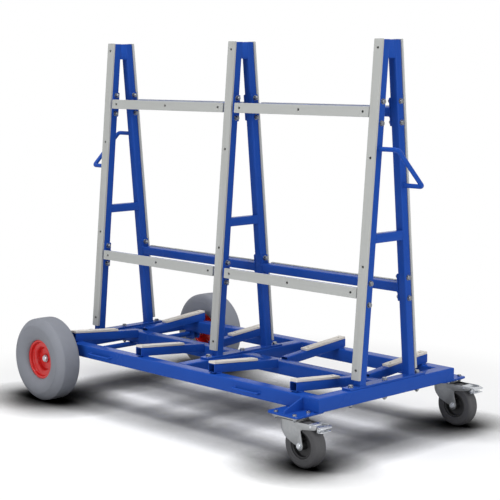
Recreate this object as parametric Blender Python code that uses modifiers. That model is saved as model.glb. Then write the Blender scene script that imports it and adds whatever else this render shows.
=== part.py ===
"""Slab buggy: a wheeled A-frame trolley that carries slabs leaning on both sides.

Frame: +X towards the swivel casters, +Y to the left side, +Z up, the origin on
the floor under the middle of the trolley. All lengths are in metres.
"""

from math import atan2, cos, pi, radians, sin, sqrt, tan

import bmesh
import bpy
from mathutils import Matrix, Vector

# Clearances and overlaps shared by all pieces
SEAT_GAP = 0.0003
RUNNING_GAP = 0.0003
WELD_SINK = 0.001
OVERRUN = 0.002
MERGE_DISTANCE = 0.00001

# A-frames and the slab faces that lean on them
FRAME_PITCH = 0.880
FRAME_TOP = 1.723
LEAN = radians(5)
TOP_HALF_SPREAD = 0.066
LEG_TUBE = 0.040
TUBE_ROUNDING = 0.004
LEG_TOP_DROP = 0.003
CAP_HEIGHT = 0.074
CAP_DROP = 0.005
CAP_RECESS = 0.002
CROSS_BAR_TUBE = 0.040
CROSS_BAR_HEIGHT = 0.897
FOOT_THICKNESS = 0.008
FOOT_WIDTH = 0.050
FOOT_OVERHANG = 0.065

# Wear strips
STRIP_WIDTH = 0.045
STRIP_THICKNESS = 0.012
STRIP_ROUNDING = 0.005
STRIP_FOOT_CLEARANCE = 0.0257

# Rails between the A-frames
RAIL_TUBE = 0.040
LOWER_RAIL_HEIGHT = 0.671
UPPER_RAIL_HEIGHT = 1.423
FLANGE_HEIGHT = 0.120
FLANGE_THICKNESS = 0.007
FLANGE_ROUNDING = 0.005
RAIL_STRIP_END_GAP = 0.0125
RAIL_STRIP_SHIFTS = (0.002, 0.009)

# Pull handles
HANDLE_RADIUS = 0.010
HANDLE_STANDOFF = 0.100
HANDLE_BEND_RADIUS = 0.030
HANDLE_HIGH_END = 1.270
HANDLE_LOW_END = 1.110

# Rear wheels and their axle
TYRE_RADIUS = 0.200
TYRE_WIDTH = 0.128
TYRE_SHOULDER = 0.030
TYRE_WALL_DISH = 0.010
TYRE_EDGE_DISH_SHARE = 0.2
REAR_AXLE_SETBACK = 0.065
AXLE_RADIUS = 0.0125
AXLE_RAIL_CLEARANCE = 0.0025
WHEEL_OUTSET = 0.098
AXLE_COLLAR_RADIUS = 0.019
AXLE_NUT_RADIUS = 0.017
AXLE_NUT_LENGTH = 0.010
RIM_SHEET = 0.003
RIM_RADIUS = 0.0865
RIM_LIP = 0.008
RIM_LIP_INSET = 0.016
RIM_STEP_SHARE = 0.66
RIM_SHELF_DEPTH = 0.034
RIM_WEB_DEPTH = 0.061
HUB_RADIUS = 0.021
HUB_LENGTH = 0.075
HUB_NOSE = 0.006
AXLE_BRACKET_WIDTH = 0.070
AXLE_BRACKET_THICKNESS = 0.008
AXLE_BRACKET_SPACING = 0.036
AXLE_BRACKET_EDGE = 0.014

# Base frame
BASE_TUBE = 0.060
BASE_HALF_WIDTH = 0.440
BASE_ROUNDING = 0.005
LASHING_BAR_RADIUS = 0.005
LASHING_BAR_LENGTH = 0.150
LASHING_BAR_STANDOFF = 0.018
LASHING_BAR_BEND = 0.012
LASHING_BAR_DROP = 0.033
LASHING_PLACE_SHARES = (-0.585, 0.557)

# Support arms with their pads
ARM_TUBE = 0.040
ARM_WALL = 0.003
ARM_END_SETBACK = 0.016
ARM_PLACE_SHARES = (-0.852, -0.284, 0.284, 0.852)
PAD_THICKNESS = 0.010
PAD_LENGTH = 0.266
PAD_ROUNDING = 0.006

# Casters
MOUNT_PLATE_LENGTH = 0.186
MOUNT_PLATE_THICKNESS = 0.008
MOUNT_PLATE_MARGIN = 0.058
MOUNT_PLATE_ROUNDING = 0.008
SWIVEL_SETBACK = 0.096
SWIVEL_OUTSET = 0.056
TOP_PLATE_LENGTH = 0.135
TOP_PLATE_WIDTH = 0.110
TOP_PLATE_THICKNESS = 0.005
UPPER_RACE_RADIUS = 0.032
UPPER_RACE_HEIGHT = 0.006
LOWER_RACE_RADIUS = 0.030
LOWER_RACE_HEIGHT = 0.0035
KINGPIN_RADIUS = 0.008
KINGPIN_NUT_RADIUS = 0.013
KINGPIN_NUT_HEIGHT = 0.008
CASTER_HEAD_ROOM = 0.017
CASTER_TRAIL = 0.076
CASTER_TYRE_WIDTH = 0.056
CASTER_TYRE_ROUNDING = 0.014
CASTER_HUB_RADIUS = 0.056
CASTER_HUB_RIM = 0.008
CASTER_HUB_RIM_WIDTH = 0.046
CASTER_WEB_WIDTH = 0.014
CASTER_BOSS_RADIUS = 0.017
CASTER_AXLE_RADIUS = 0.0075
CASTER_BOLT_RADIUS = 0.012
CASTER_BOLT_HEIGHT = 0.007
FORK_SIDE_CLEARANCE = 0.0045
FORK_PLATE = 0.0045
FORK_NOSE_REACH = 0.049
FORK_TIP_RADIUS = 0.0185
FORK_WINDOW_CLEARANCE = 0.003
FORK_FRONT_SHARES = ((-0.74, 1.0), (-0.66, 0.90), (-0.40, 0.57), (-0.03, 0.25), (0.62, 0.02))
FORK_REAR_SHARES = ((1.07, 0.62), (1.12, 0.69), (1.20, 0.72), (2.15, 0.82), (2.21, 0.88), (2.21, 1.0))
FORK_TAIL_SHARE = 2.4

# Brake pedals
PEDAL_PIVOT_REACH = 0.136
PEDAL_PIVOT_DROP = 0.0084
PEDAL_PIN_RADIUS = 0.004
PEDAL_SLEEVE_RADIUS = 0.0072
PEDAL_SIDE_CLEARANCE = 0.0012
PEDAL_SHEET = 0.0035
PEDAL_LENGTH = 0.065
PEDAL_LINE_SHARES = ((-0.25, 0.15), (0.0, 0.02), (0.36, 0.03), (0.80, 0.12), (1.0, 0.02))
TONGUE_LENGTH = 0.027
TONGUE_WIDTH = 0.074
TONGUE_DROP = 0.016
TONGUE_WEB_WIDTH = 0.040
SHOE_LENGTH = 0.012
SHOE_HEIGHT = 0.024
SHOE_WIDTH = 0.036
SHOE_REACH = 0.018

# Fineness of the curved surfaces
CORNER_SEGMENTS = 2
BEND_STEPS = 4
TYRE_STEPS = 32
CASTER_STEPS = 24
PIN_SIDES = 16
SHOULDER_STEPS = 3
BAR_RESOLUTION = 2
SMOOTH_ANGLE = radians(35)
PARALLEL_SHARE = 0.9

# Finishes: colour (linear red, green, blue), roughness, metallic
FINISHES = {
    "blue_paint": ((0.013, 0.060, 0.38), 0.35, 0.0),
    "grey_strip": ((0.50, 0.49, 0.46), 0.60, 0.0),
    "grey_foam_tyre": ((0.20, 0.21, 0.24), 0.75, 0.0),
    "red_rim": ((0.62, 0.02, 0.02), 0.35, 0.0),
    "zinc_steel": ((0.45, 0.45, 0.45), 0.40, 0.9),
    "bright_zinc": ((0.70, 0.71, 0.72), 0.25, 1.0),
    "dark_rubber": ((0.065, 0.065, 0.070), 0.80, 0.0),
    "black_hub": ((0.018, 0.018, 0.020), 0.55, 0.0),
}

# Levels and places worked out from the sizes above
RAIL_BOTTOM = TYRE_RADIUS + AXLE_RADIUS + AXLE_RAIL_CLEARANCE
BASE_TOP = RAIL_BOTTOM + BASE_TUBE
BASE_HALF_LENGTH = FRAME_PITCH + BASE_TUBE / 2
FOOT_TOP = BASE_TOP + SEAT_GAP + FOOT_THICKNESS
STRIP_BOTTOM = FOOT_TOP + STRIP_FOOT_CLEARANCE
FRAME_PLACES = (-FRAME_PITCH, 0.0, FRAME_PITCH)
BAY_CENTRES = (-FRAME_PITCH / 2, FRAME_PITCH / 2)
AXLE_PLACE = -(FRAME_PITCH - REAR_AXLE_SETBACK)
WHEEL_CENTRE = BASE_HALF_WIDTH + WHEEL_OUTSET
MOUNT_PLATE_BOTTOM = RAIL_BOTTOM - MOUNT_PLATE_THICKNESS
CASTER_RADIUS = (MOUNT_PLATE_BOTTOM - CASTER_HEAD_ROOM) / 2
SWIVEL_X = BASE_HALF_LENGTH - SWIVEL_SETBACK
SWIVEL_Y = BASE_HALF_WIDTH + SWIVEL_OUTSET
TOP_PLATE_BOTTOM = MOUNT_PLATE_BOTTOM - SEAT_GAP - TOP_PLATE_THICKNESS
UPPER_RACE_BOTTOM = TOP_PLATE_BOTTOM - UPPER_RACE_HEIGHT
CROWN_TOP = UPPER_RACE_BOTTOM - RUNNING_GAP - LOWER_RACE_HEIGHT
CROWN_BOTTOM = CROWN_TOP - FORK_PLATE
FORK_INNER_HALF = CASTER_TYRE_WIDTH / 2 + FORK_SIDE_CLEARANCE
FORK_OUTER_HALF = FORK_INNER_HALF + FORK_PLATE
PEDAL_PIVOT_HEIGHT = CROWN_TOP - PEDAL_PIVOT_DROP
SIDES = {"right": -1, "left": 1}


def slab_face(height):
    """Distance of the slab face from the middle plane at a height."""
    return TOP_HALF_SPREAD + (FRAME_TOP - height) * tan(LEAN)


def face_run(height):
    """Distance down the slab face from its top edge to a height."""
    return (FRAME_TOP - height) / cos(LEAN)


# Shape tools: each returns a bmesh that the next tool takes over

def box(size, centre=(0, 0, 0), rounding=0, along=2):
    """Box whose four edges along one axis are rounded."""
    shape = bmesh.new()
    bmesh.ops.create_cube(shape, size=1)
    bmesh.ops.scale(shape, vec=Vector(size), verts=shape.verts)
    if rounding:
        edges = []
        for edge in shape.edges:
            direction = (edge.verts[1].co - edge.verts[0].co).normalized()
            if abs(direction[along]) > PARALLEL_SHARE:
                edges.append(edge)
        bmesh.ops.bevel(
            shape, geom=edges, offset=rounding, offset_type="OFFSET", affect="EDGES",
            segments=CORNER_SEGMENTS, profile=0.5,
        )
    bmesh.ops.translate(shape, vec=Vector(centre), verts=shape.verts)
    return shape


def cylinder(radius, length, centre=(0, 0, 0), axis="Z", sides=PIN_SIDES):
    """Closed cylinder with its axis along Z or Y."""
    shape = bmesh.new()
    bmesh.ops.create_cone(
        shape, cap_ends=True, segments=sides, radius1=radius, radius2=radius, depth=length)
    if axis == "Y":
        bmesh.ops.rotate(shape, matrix=Matrix.Rotation(pi / 2, 3, "X"), verts=shape.verts)
    bmesh.ops.translate(shape, vec=Vector(centre), verts=shape.verts)
    return shape


def evaluated_shape(scene_object):
    """Bmesh of an object as its modifiers leave it; the object is removed."""
    depsgraph = bpy.context.evaluated_depsgraph_get()
    mesh = bpy.data.meshes.new_from_object(scene_object.evaluated_get(depsgraph))
    shape = bmesh.new()
    shape.from_mesh(mesh)
    bpy.data.meshes.remove(mesh)
    bpy.data.objects.remove(scene_object)
    bmesh.ops.remove_doubles(shape, verts=shape.verts, dist=MERGE_DISTANCE)
    bmesh.ops.recalc_face_normals(shape, faces=shape.faces)
    return shape


def temporary_object(name, data):
    """Object linked to the scene only while its modifiers are read."""
    scene_object = bpy.data.objects.new(name, data)
    bpy.context.scene.collection.objects.link(scene_object)
    return scene_object


def shape_object(name, shape):
    """Temporary mesh object from a bmesh, which is freed."""
    mesh = bpy.data.meshes.new(name)
    shape.to_mesh(mesh)
    shape.free()
    return temporary_object(name, mesh)


def combine(body, others, operation):
    """Boolean of one body with several others, one after the other."""
    base = shape_object("body", body)
    tools = [shape_object("tool", other) for other in others]
    for tool in tools:
        modifier = base.modifiers.new("combine", "BOOLEAN")
        modifier.operation = operation
        modifier.object = tool
    result = evaluated_shape(base)
    for tool in tools:
        bpy.data.objects.remove(tool)
    return result


def turned(profile, steps, centre=(0, 0, 0)):
    """Ring from a closed profile of (radius, height) points turned about Z."""
    mesh = bpy.data.meshes.new("profile")
    points = [(radius, 0, height) for radius, height in profile]
    edges = [(index, (index + 1) % len(points)) for index in range(len(points))]
    mesh.from_pydata(points, edges, [])
    ring = temporary_object("ring", mesh)
    screw = ring.modifiers.new("turn", "SCREW")
    screw.axis = "Z"
    screw.angle = 2 * pi
    screw.steps = steps
    screw.render_steps = steps
    screw.use_merge_vertices = True
    screw.merge_threshold = MERGE_DISTANCE
    shape = evaluated_shape(ring)
    bmesh.ops.translate(shape, vec=Vector(centre), verts=shape.verts)
    return shape


def prism(outlines, thickness, upright=False):
    """Flat outline with any holes, extruded; upright puts its plane in XZ."""
    curve = bpy.data.curves.new("outline", "CURVE")
    curve.dimensions = "2D"
    curve.fill_mode = "BOTH"
    curve.extrude = thickness / 2
    for outline in outlines:
        spline = curve.splines.new("POLY")
        spline.points.add(len(outline) - 1)
        spline.use_cyclic_u = True
        for point, place in zip(spline.points, outline):
            point.co = (place[0], place[1], 0, 1)
    shape = evaluated_shape(temporary_object("outline", curve))
    if upright:
        bmesh.ops.rotate(shape, matrix=Matrix.Rotation(pi / 2, 3, "X"), verts=shape.verts)
    return shape


def bar(path, radius):
    """Round bar with flat ends along a path of points."""
    curve = bpy.data.curves.new("bar", "CURVE")
    curve.dimensions = "3D"
    curve.bevel_depth = radius
    curve.bevel_resolution = BAR_RESOLUTION
    curve.use_fill_caps = True
    spline = curve.splines.new("POLY")
    spline.points.add(len(path) - 1)
    for point, place in zip(spline.points, path):
        point.co = (*place, 1)
    return evaluated_shape(temporary_object("bar", curve))


def rounded_path(corners, radius):
    """Path through corners, with an arc of the given radius at each inner one."""
    path = [Vector(corners[0])]
    for before, corner, after in zip(corners, corners[1:], corners[2:]):
        corner = Vector(corner)
        back = (Vector(before) - corner).normalized()
        onward = (Vector(after) - corner).normalized()
        half_angle = back.angle(onward) / 2
        centre = corner + (back + onward).normalized() * radius / sin(half_angle)
        start = corner + back * radius / tan(half_angle) - centre
        end = corner + onward * radius / tan(half_angle) - centre
        sweep = start.angle(end)
        for step in range(BEND_STEPS + 1):
            share = step / BEND_STEPS
            spoke = start * sin((1 - share) * sweep) + end * sin(share * sweep)
            path.append(centre + spoke / sin(sweep))
    path.append(Vector(corners[-1]))
    return path


def sheared(shape, slope, along, into):
    """Shape with one coordinate shifted in proportion to another."""
    for vertex in shape.verts:
        vertex.co[into] += slope * vertex.co[along]
    return shape


# Finishes and named pieces

def finish(name):
    """Principled material of a named finish, made once."""
    material = bpy.data.materials.get(name)
    if material:
        return material
    colour, roughness, metallic = FINISHES[name]
    material = bpy.data.materials.new(name)
    material.use_nodes = True
    shader = material.node_tree.nodes["Principled BSDF"]
    shader.inputs["Base Color"].default_value = (*colour, 1)
    shader.inputs["Roughness"].default_value = roughness
    shader.inputs["Metallic"].default_value = metallic
    return material


def mesh_of(name, shape, finish_name):
    """Smooth-shaded mesh with its finish from a bmesh, which is freed."""
    mesh = bpy.data.meshes.new(name)
    shape.to_mesh(mesh)
    shape.free()
    mesh.materials.append(finish(finish_name))
    mesh.shade_smooth()
    mesh.set_sharp_from_angle(angle=SMOOTH_ANGLE)
    return mesh


def place(collection, name, mesh, location=(0, 0, 0), turn=(0, 0, 0), parent=None):
    """Named piece in the trolley's collection."""
    piece = bpy.data.objects.new(name, mesh)
    piece.location = location
    piece.rotation_euler = turn
    piece.parent = parent
    collection.objects.link(piece)
    return piece


def guide(collection, name, location, turn=(0, 0, 0), parent=None):
    """Empty that carries pieces which lean or turn together."""
    return place(collection, name, None, location, turn, parent)


# Base frame

def ladder():
    """Side rails, end rails, middle rail and spine as one welded ladder."""
    inner_half_width = BASE_HALF_WIDTH - BASE_TUBE
    outer = [
        (-BASE_HALF_LENGTH, -BASE_HALF_WIDTH), (BASE_HALF_LENGTH, -BASE_HALF_WIDTH),
        (BASE_HALF_LENGTH, BASE_HALF_WIDTH), (-BASE_HALF_LENGTH, BASE_HALF_WIDTH),
    ]
    outlines = [outer]
    for along in (-1, 1):
        for side in SIDES.values():
            x_near = along * BASE_TUBE / 2
            x_far = along * (FRAME_PITCH - BASE_TUBE / 2)
            y_near = side * BASE_TUBE / 2
            y_far = side * inner_half_width
            outlines.append([(x_near, y_near), (x_far, y_near), (x_far, y_far), (x_near, y_far)])
    shape = prism(outlines, BASE_TUBE)
    sharp_edges = []
    for edge in shape.edges:
        if edge.is_manifold and edge.calc_face_angle() > SMOOTH_ANGLE:
            direction = (edge.verts[1].co - edge.verts[0].co).normalized()
            if abs(direction.z) < 1 - PARALLEL_SHARE:
                sharp_edges.append(edge)
    bmesh.ops.bevel(
        shape, geom=sharp_edges, offset=BASE_ROUNDING, offset_type="OFFSET", affect="EDGES",
        segments=CORNER_SEGMENTS, profile=0.5,
    )
    bmesh.ops.translate(shape, vec=Vector((0, 0, RAIL_BOTTOM + BASE_TUBE / 2)), verts=shape.verts)
    return shape


def mount_plate(side):
    """Plate under a front corner that carries a caster."""
    inner = BASE_HALF_WIDTH - BASE_TUBE + BASE_ROUNDING
    outer = SWIVEL_Y + MOUNT_PLATE_MARGIN
    size = (MOUNT_PLATE_LENGTH, outer - inner, MOUNT_PLATE_THICKNESS + WELD_SINK)
    centre = (
        SWIVEL_X, side * (outer + inner) / 2, MOUNT_PLATE_BOTTOM + size[2] / 2)
    return box(size, centre, MOUNT_PLATE_ROUNDING)


def axle_bracket(side, offset):
    """Plate under a side rail with the bore that holds the axle."""
    bottom = TYRE_RADIUS - AXLE_RADIUS - AXLE_BRACKET_EDGE
    size = (AXLE_BRACKET_WIDTH, AXLE_BRACKET_THICKNESS, RAIL_BOTTOM + WELD_SINK - bottom)
    place_y = side * (BASE_HALF_WIDTH - BASE_TUBE / 2 + offset)
    plate = box(size, (AXLE_PLACE, place_y, bottom + size[2] / 2), AXLE_BRACKET_EDGE, 1)
    bore = cylinder(
        AXLE_RADIUS + SEAT_GAP, AXLE_BRACKET_THICKNESS + 2 * OVERRUN,
        (AXLE_PLACE, place_y, TYRE_RADIUS), "Y")
    return combine(plate, [bore], "DIFFERENCE")


def lashing_bar(side, place_share):
    """Bent round bar welded to a side rail's face for the lashing straps."""
    centre = place_share * FRAME_PITCH
    half = LASHING_BAR_LENGTH / 2
    height = BASE_TOP - LASHING_BAR_DROP
    root = side * (BASE_HALF_WIDTH - WELD_SINK)
    reach = side * (BASE_HALF_WIDTH + LASHING_BAR_STANDOFF)
    corners = [
        (centre - half, root, height), (centre - half, reach, height),
        (centre + half, reach, height), (centre + half, root, height),
    ]
    return bar(rounded_path(corners, LASHING_BAR_BEND), LASHING_BAR_RADIUS)


def base_frame_shape():
    """Ladder with its caster plates, axle brackets and lashing bars."""
    additions = []
    for side in SIDES.values():
        additions.append(mount_plate(side))
        for offset in (-AXLE_BRACKET_SPACING / 2, AXLE_BRACKET_SPACING / 2):
            additions.append(axle_bracket(side, offset))
        for place_share in LASHING_PLACE_SHARES:
            additions.append(lashing_bar(side, place_share))
    return combine(ladder(), additions, "UNION")


def add_arms(collection):
    """Sloping support arms on the side rails, each with its pad."""
    slope = tan(LEAN)
    inner = BASE_TUBE / 2 + SEAT_GAP
    outer = BASE_HALF_WIDTH - ARM_END_SETBACK
    rise = ARM_TUBE / cos(LEAN)
    wall_rise = ARM_WALL / cos(LEAN)
    middle = (inner + outer) / 2
    seat_edge = BASE_HALF_WIDTH - BASE_TUBE
    arm_height = BASE_TOP + SEAT_GAP + slope * (middle - seat_edge) + rise / 2
    tube = box((ARM_TUBE, outer - inner, rise), rounding=TUBE_ROUNDING, along=1)
    hollow = box((
        ARM_TUBE - 2 * ARM_WALL, outer - inner + 2 * OVERRUN, rise - 2 * wall_rise))
    arm_shape = sheared(combine(tube, [hollow], "DIFFERENCE"), slope, 1, 2)
    arm_mesh = mesh_of("support_arm", arm_shape, "blue_paint")

    pad_rise = PAD_THICKNESS / cos(LEAN)
    pad_middle = outer - PAD_LENGTH / 2
    pad_height = arm_height + slope * (pad_middle - middle) + rise / 2 + SEAT_GAP + pad_rise / 2
    pad_shape = box((ARM_TUBE, PAD_LENGTH, pad_rise), rounding=PAD_ROUNDING)
    pad_mesh = mesh_of("arm_pad", sheared(pad_shape, slope, 1, 2), "grey_strip")
    for side_name, side in SIDES.items():
        turn = (0, 0, 0 if side > 0 else pi)
        for number, share in enumerate(ARM_PLACE_SHARES, 1):
            x = share * FRAME_PITCH
            place(collection, f"support_arm_{side_name}_{number}", arm_mesh,
                  (x, side * middle, arm_height), turn)
            place(collection, f"arm_pad_{side_name}_{number}", pad_mesh,
                  (x, side * pad_middle, pad_height), turn)


# A-frames

def leg_offset():
    """Level distance from the slab face to a leg's middle line."""
    return (STRIP_THICKNESS + SEAT_GAP + LEG_TUBE / 2) / cos(LEAN)


def leg(side):
    """Leaning square tube, cut level at its foot and its top."""
    low = FOOT_TOP - WELD_SINK
    high = FRAME_TOP - LEG_TOP_DROP
    middle = (low + high) / 2
    tube = box((LEG_TUBE, LEG_TUBE / cos(LEAN), high - low), rounding=TUBE_ROUNDING)
    tube = sheared(tube, -side * tan(LEAN), 2, 1)
    y = side * (slab_face(middle) - leg_offset())
    bmesh.ops.translate(tube, vec=Vector((0, y, middle)), verts=tube.verts)
    return tube


def a_frame_shape():
    """Two legs with their cap, cross bar and foot plate, welded."""
    cap_top = FRAME_TOP - CAP_DROP
    cap_half = slab_face(cap_top) - leg_offset()
    cap = box(
        (LEG_TUBE - 2 * CAP_RECESS, 2 * cap_half, CAP_HEIGHT), (0, 0, cap_top - CAP_HEIGHT / 2))
    bar_half = slab_face(CROSS_BAR_HEIGHT) - leg_offset()
    cross_bar = box(
        (CROSS_BAR_TUBE - CAP_RECESS, 2 * bar_half, CROSS_BAR_TUBE), (0, 0, CROSS_BAR_HEIGHT),
        TUBE_ROUNDING, 1)
    foot_half = slab_face(FOOT_TOP) - leg_offset() + LEG_TUBE / 2 + FOOT_OVERHANG
    foot = box(
        (FOOT_WIDTH, 2 * foot_half, FOOT_THICKNESS), (0, 0, FOOT_TOP - FOOT_THICKNESS / 2))
    legs = [leg(side) for side in SIDES.values()]
    return combine(foot, [*legs, cap, cross_bar], "UNION")


def add_a_frames(collection):
    """Three A-frames along the base."""
    mesh = mesh_of("a_frame", a_frame_shape(), "blue_paint")
    for name, x in zip(("rear", "middle", "front"), FRAME_PLACES):
        place(collection, f"a_frame_{name}", mesh, (x, 0, 0))


def add_leg_strips(collection, face, side_name, side):
    """Wear strip on the outer face of each leg."""
    length = face_run(STRIP_BOTTOM)
    shape = box((STRIP_WIDTH, STRIP_THICKNESS, length), rounding=STRIP_ROUNDING, along=1)
    mesh = mesh_of(f"leg_strip_{side_name}", shape, "grey_strip")
    for name, x in zip(("rear", "middle", "front"), FRAME_PLACES):
        location = (x, -side * STRIP_THICKNESS / 2, -length / 2)
        place(collection, f"leg_strip_{side_name}_{name}", mesh, location, parent=face)


def rail_shape():
    """Square tube with a flange plate welded across each end."""
    half = (FRAME_PITCH - LEG_TUBE) / 2 - SEAT_GAP
    tube = box(
        (2 * (half - FLANGE_THICKNESS + WELD_SINK), RAIL_TUBE, RAIL_TUBE),
        rounding=TUBE_ROUNDING, along=0)
    flanges = []
    for end in (-1, 1):
        centre = (end * (half - FLANGE_THICKNESS / 2), 0, 0)
        flanges.append(box(
            (FLANGE_THICKNESS, RAIL_TUBE, FLANGE_HEIGHT), centre, FLANGE_ROUNDING, 0))
    return combine(tube, flanges, "UNION")


def add_rails(collection, face, side_name, side):
    """Upper and lower rail in both bays, each with its wear strip."""
    rail_mesh = mesh_of(f"rail_{side_name}", rail_shape(), "blue_paint")
    strip_length = FRAME_PITCH - STRIP_WIDTH - 2 * RAIL_STRIP_END_GAP
    strip_shape = box(
        (strip_length, STRIP_THICKNESS, STRIP_WIDTH), rounding=STRIP_ROUNDING, along=1)
    strip_mesh = mesh_of(f"rail_strip_{side_name}", strip_shape, "grey_strip")
    depth = STRIP_THICKNESS + SEAT_GAP + RAIL_TUBE / 2
    levels = {"lower": LOWER_RAIL_HEIGHT, "upper": UPPER_RAIL_HEIGHT}
    for level, height in levels.items():
        run = face_run(height)
        for bay, x, shift in zip(("rear", "front"), BAY_CENTRES, RAIL_STRIP_SHIFTS):
            name = f"{level}_{side_name}_{bay}"
            place(collection, f"rail_{name}", rail_mesh, (x, -side * depth, -run), parent=face)
            place(collection, f"rail_strip_{name}", strip_mesh,
                  (x + shift, -side * STRIP_THICKNESS / 2, -run), parent=face)


def handle_shape():
    """Round bar that leaves one leg, crosses the frame and drops to the other."""
    start = LEG_TUBE / 2 + SEAT_GAP
    reach = LEG_TUBE / 2 + HANDLE_STANDOFF
    high_y = -(slab_face(HANDLE_HIGH_END) - leg_offset())
    low_y = slab_face(HANDLE_LOW_END) - leg_offset()
    corners = [
        (start, high_y, HANDLE_HIGH_END), (reach, high_y, HANDLE_HIGH_END),
        (reach, low_y, HANDLE_LOW_END), (start, low_y, HANDLE_LOW_END),
    ]
    return bar(rounded_path(corners, HANDLE_BEND_RADIUS), HANDLE_RADIUS)


def add_handles(collection):
    """Pull handles on the outer faces of the end frames."""
    mesh = mesh_of("pull_handle", handle_shape(), "blue_paint")
    place(collection, "pull_handle_front", mesh, (FRAME_PITCH, 0, 0))
    place(collection, "pull_handle_rear", mesh, (-FRAME_PITCH, 0, 0), (0, 0, pi))


# Rear wheels

def hub_ends():
    """Inner and outer end of a rear hub, from the wheel's middle plane."""
    return HUB_NOSE - HUB_LENGTH, HUB_NOSE


def axle_shape():
    """Fixed axle with a collar inside and a nut outside each hub."""
    half_length = WHEEL_CENTRE + hub_ends()[1] + RUNNING_GAP + AXLE_NUT_LENGTH
    shaft = cylinder(AXLE_RADIUS, 2 * half_length - AXLE_NUT_LENGTH, axis="Y")
    rings = []
    for side in SIDES.values():
        collar_outer = WHEEL_CENTRE + hub_ends()[0] - RUNNING_GAP
        collar_inner = BASE_HALF_WIDTH
        rings.append(cylinder(
            AXLE_COLLAR_RADIUS, collar_outer - collar_inner,
            (0, side * (collar_outer + collar_inner) / 2, 0), "Y"))
        rings.append(cylinder(
            AXLE_NUT_RADIUS, AXLE_NUT_LENGTH,
            (0, side * (half_length - AXLE_NUT_LENGTH / 2), 0), "Y"))
    return combine(shaft, rings, "UNION")


def tyre_profile():
    """Closed outline of the solid tyre, radius against height."""
    half = TYRE_WIDTH / 2
    seat = RIM_RADIUS + SEAT_GAP
    lip_radius = RIM_RADIUS + RIM_LIP + SEAT_GAP
    lip_plane = half - RIM_LIP_INSET - RIM_SHEET - SEAT_GAP
    outer = [
        (seat, lip_plane), (lip_radius, lip_plane),
        (lip_radius + RIM_SHEET, half - TYRE_WALL_DISH),
        (lip_radius + TYRE_SHOULDER, half - TYRE_WALL_DISH * TYRE_EDGE_DISH_SHARE),
    ]
    for step in range(SHOULDER_STEPS + 1):
        angle = pi / 2 * (1 - step / SHOULDER_STEPS)
        outer.append((
            TYRE_RADIUS - TYRE_SHOULDER * (1 - cos(angle)),
            half - TYRE_SHOULDER * (1 - sin(angle))))
    inner = [(radius, -height) for radius, height in reversed(outer)]
    return outer + inner


def rim_profile():
    """Closed outline of the dished rim with its offset hub."""
    half = TYRE_WIDTH / 2
    lip_face = half - RIM_LIP_INSET
    lip_radius = RIM_RADIUS + RIM_LIP
    inside = RIM_RADIUS - RIM_SHEET
    step_radius = RIM_RADIUS * RIM_STEP_SHARE
    shelf = half - RIM_SHELF_DEPTH
    web = half - RIM_WEB_DEPTH
    hub_low, hub_high = hub_ends()
    bore = AXLE_RADIUS + RUNNING_GAP
    return [
        (lip_radius, lip_face), (lip_radius, lip_face - RIM_SHEET),
        (RIM_RADIUS, lip_face - RIM_SHEET), (RIM_RADIUS, RIM_SHEET - lip_face),
        (lip_radius, RIM_SHEET - lip_face), (lip_radius, -lip_face),
        (inside, -lip_face), (inside, shelf - RIM_SHEET),
        (step_radius - RIM_SHEET, shelf - RIM_SHEET), (step_radius - RIM_SHEET, web - RIM_SHEET),
        (HUB_RADIUS, web - RIM_SHEET), (HUB_RADIUS, hub_low),
        (bore, hub_low), (bore, hub_high), (HUB_RADIUS, hub_high), (HUB_RADIUS, web),
        (step_radius, web), (step_radius, shelf), (inside, shelf), (inside, lip_face),
    ]


def add_rear_wheels(collection):
    """Axle with a rim and a solid tyre at each end."""
    axle_mesh = mesh_of("rear_axle", axle_shape(), "bright_zinc")
    place(collection, "rear_axle", axle_mesh, (AXLE_PLACE, 0, TYRE_RADIUS))
    tyre_mesh = mesh_of("rear_tyre", turned(tyre_profile(), TYRE_STEPS), "grey_foam_tyre")
    rim_mesh = mesh_of("rear_rim", turned(rim_profile(), TYRE_STEPS), "red_rim")
    for side_name, side in SIDES.items():
        hub = guide(
            collection, f"rear_wheel_{side_name}", (AXLE_PLACE, side * WHEEL_CENTRE, TYRE_RADIUS),
            (-side * pi / 2, 0, 0))
        place(collection, f"rear_tyre_{side_name}", tyre_mesh, parent=hub)
        place(collection, f"rear_rim_{side_name}", rim_mesh, parent=hub)


# Casters, built about the swivel axis with the wheel trailing towards +X

def caster_plate_shape():
    """Bolted top plate with the upper race, the kingpin and its nut."""
    plate = box(
        (TOP_PLATE_LENGTH, TOP_PLATE_WIDTH, TOP_PLATE_THICKNESS),
        (0, 0, TOP_PLATE_BOTTOM + TOP_PLATE_THICKNESS / 2), MOUNT_PLATE_ROUNDING)
    race_height = UPPER_RACE_HEIGHT + WELD_SINK
    race = cylinder(
        UPPER_RACE_RADIUS, race_height, (0, 0, UPPER_RACE_BOTTOM + race_height / 2),
        sides=CASTER_STEPS)
    nut_top = CROWN_BOTTOM - RUNNING_GAP
    nut = cylinder(
        KINGPIN_NUT_RADIUS, KINGPIN_NUT_HEIGHT, (0, 0, nut_top - KINGPIN_NUT_HEIGHT / 2), sides=6)
    pin_bottom = nut_top - KINGPIN_NUT_HEIGHT / 2
    pin_top = TOP_PLATE_BOTTOM + WELD_SINK
    kingpin = cylinder(
        KINGPIN_RADIUS, pin_top - pin_bottom, (0, 0, (pin_top + pin_bottom) / 2))
    return combine(plate, [race, kingpin, nut], "UNION")


def fork_outline(half_width, nose, tail):
    """Plan of the fork: a round nose towards -X and two straight sides."""
    centre = half_width - nose
    outline = [(tail, half_width)]
    for step in range(CASTER_STEPS // 2 + 1):
        angle = pi / 2 + 2 * pi * step / CASTER_STEPS
        outline.append((centre + half_width * cos(angle), half_width * sin(angle)))
    outline.append((tail, -half_width))
    return outline


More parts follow.
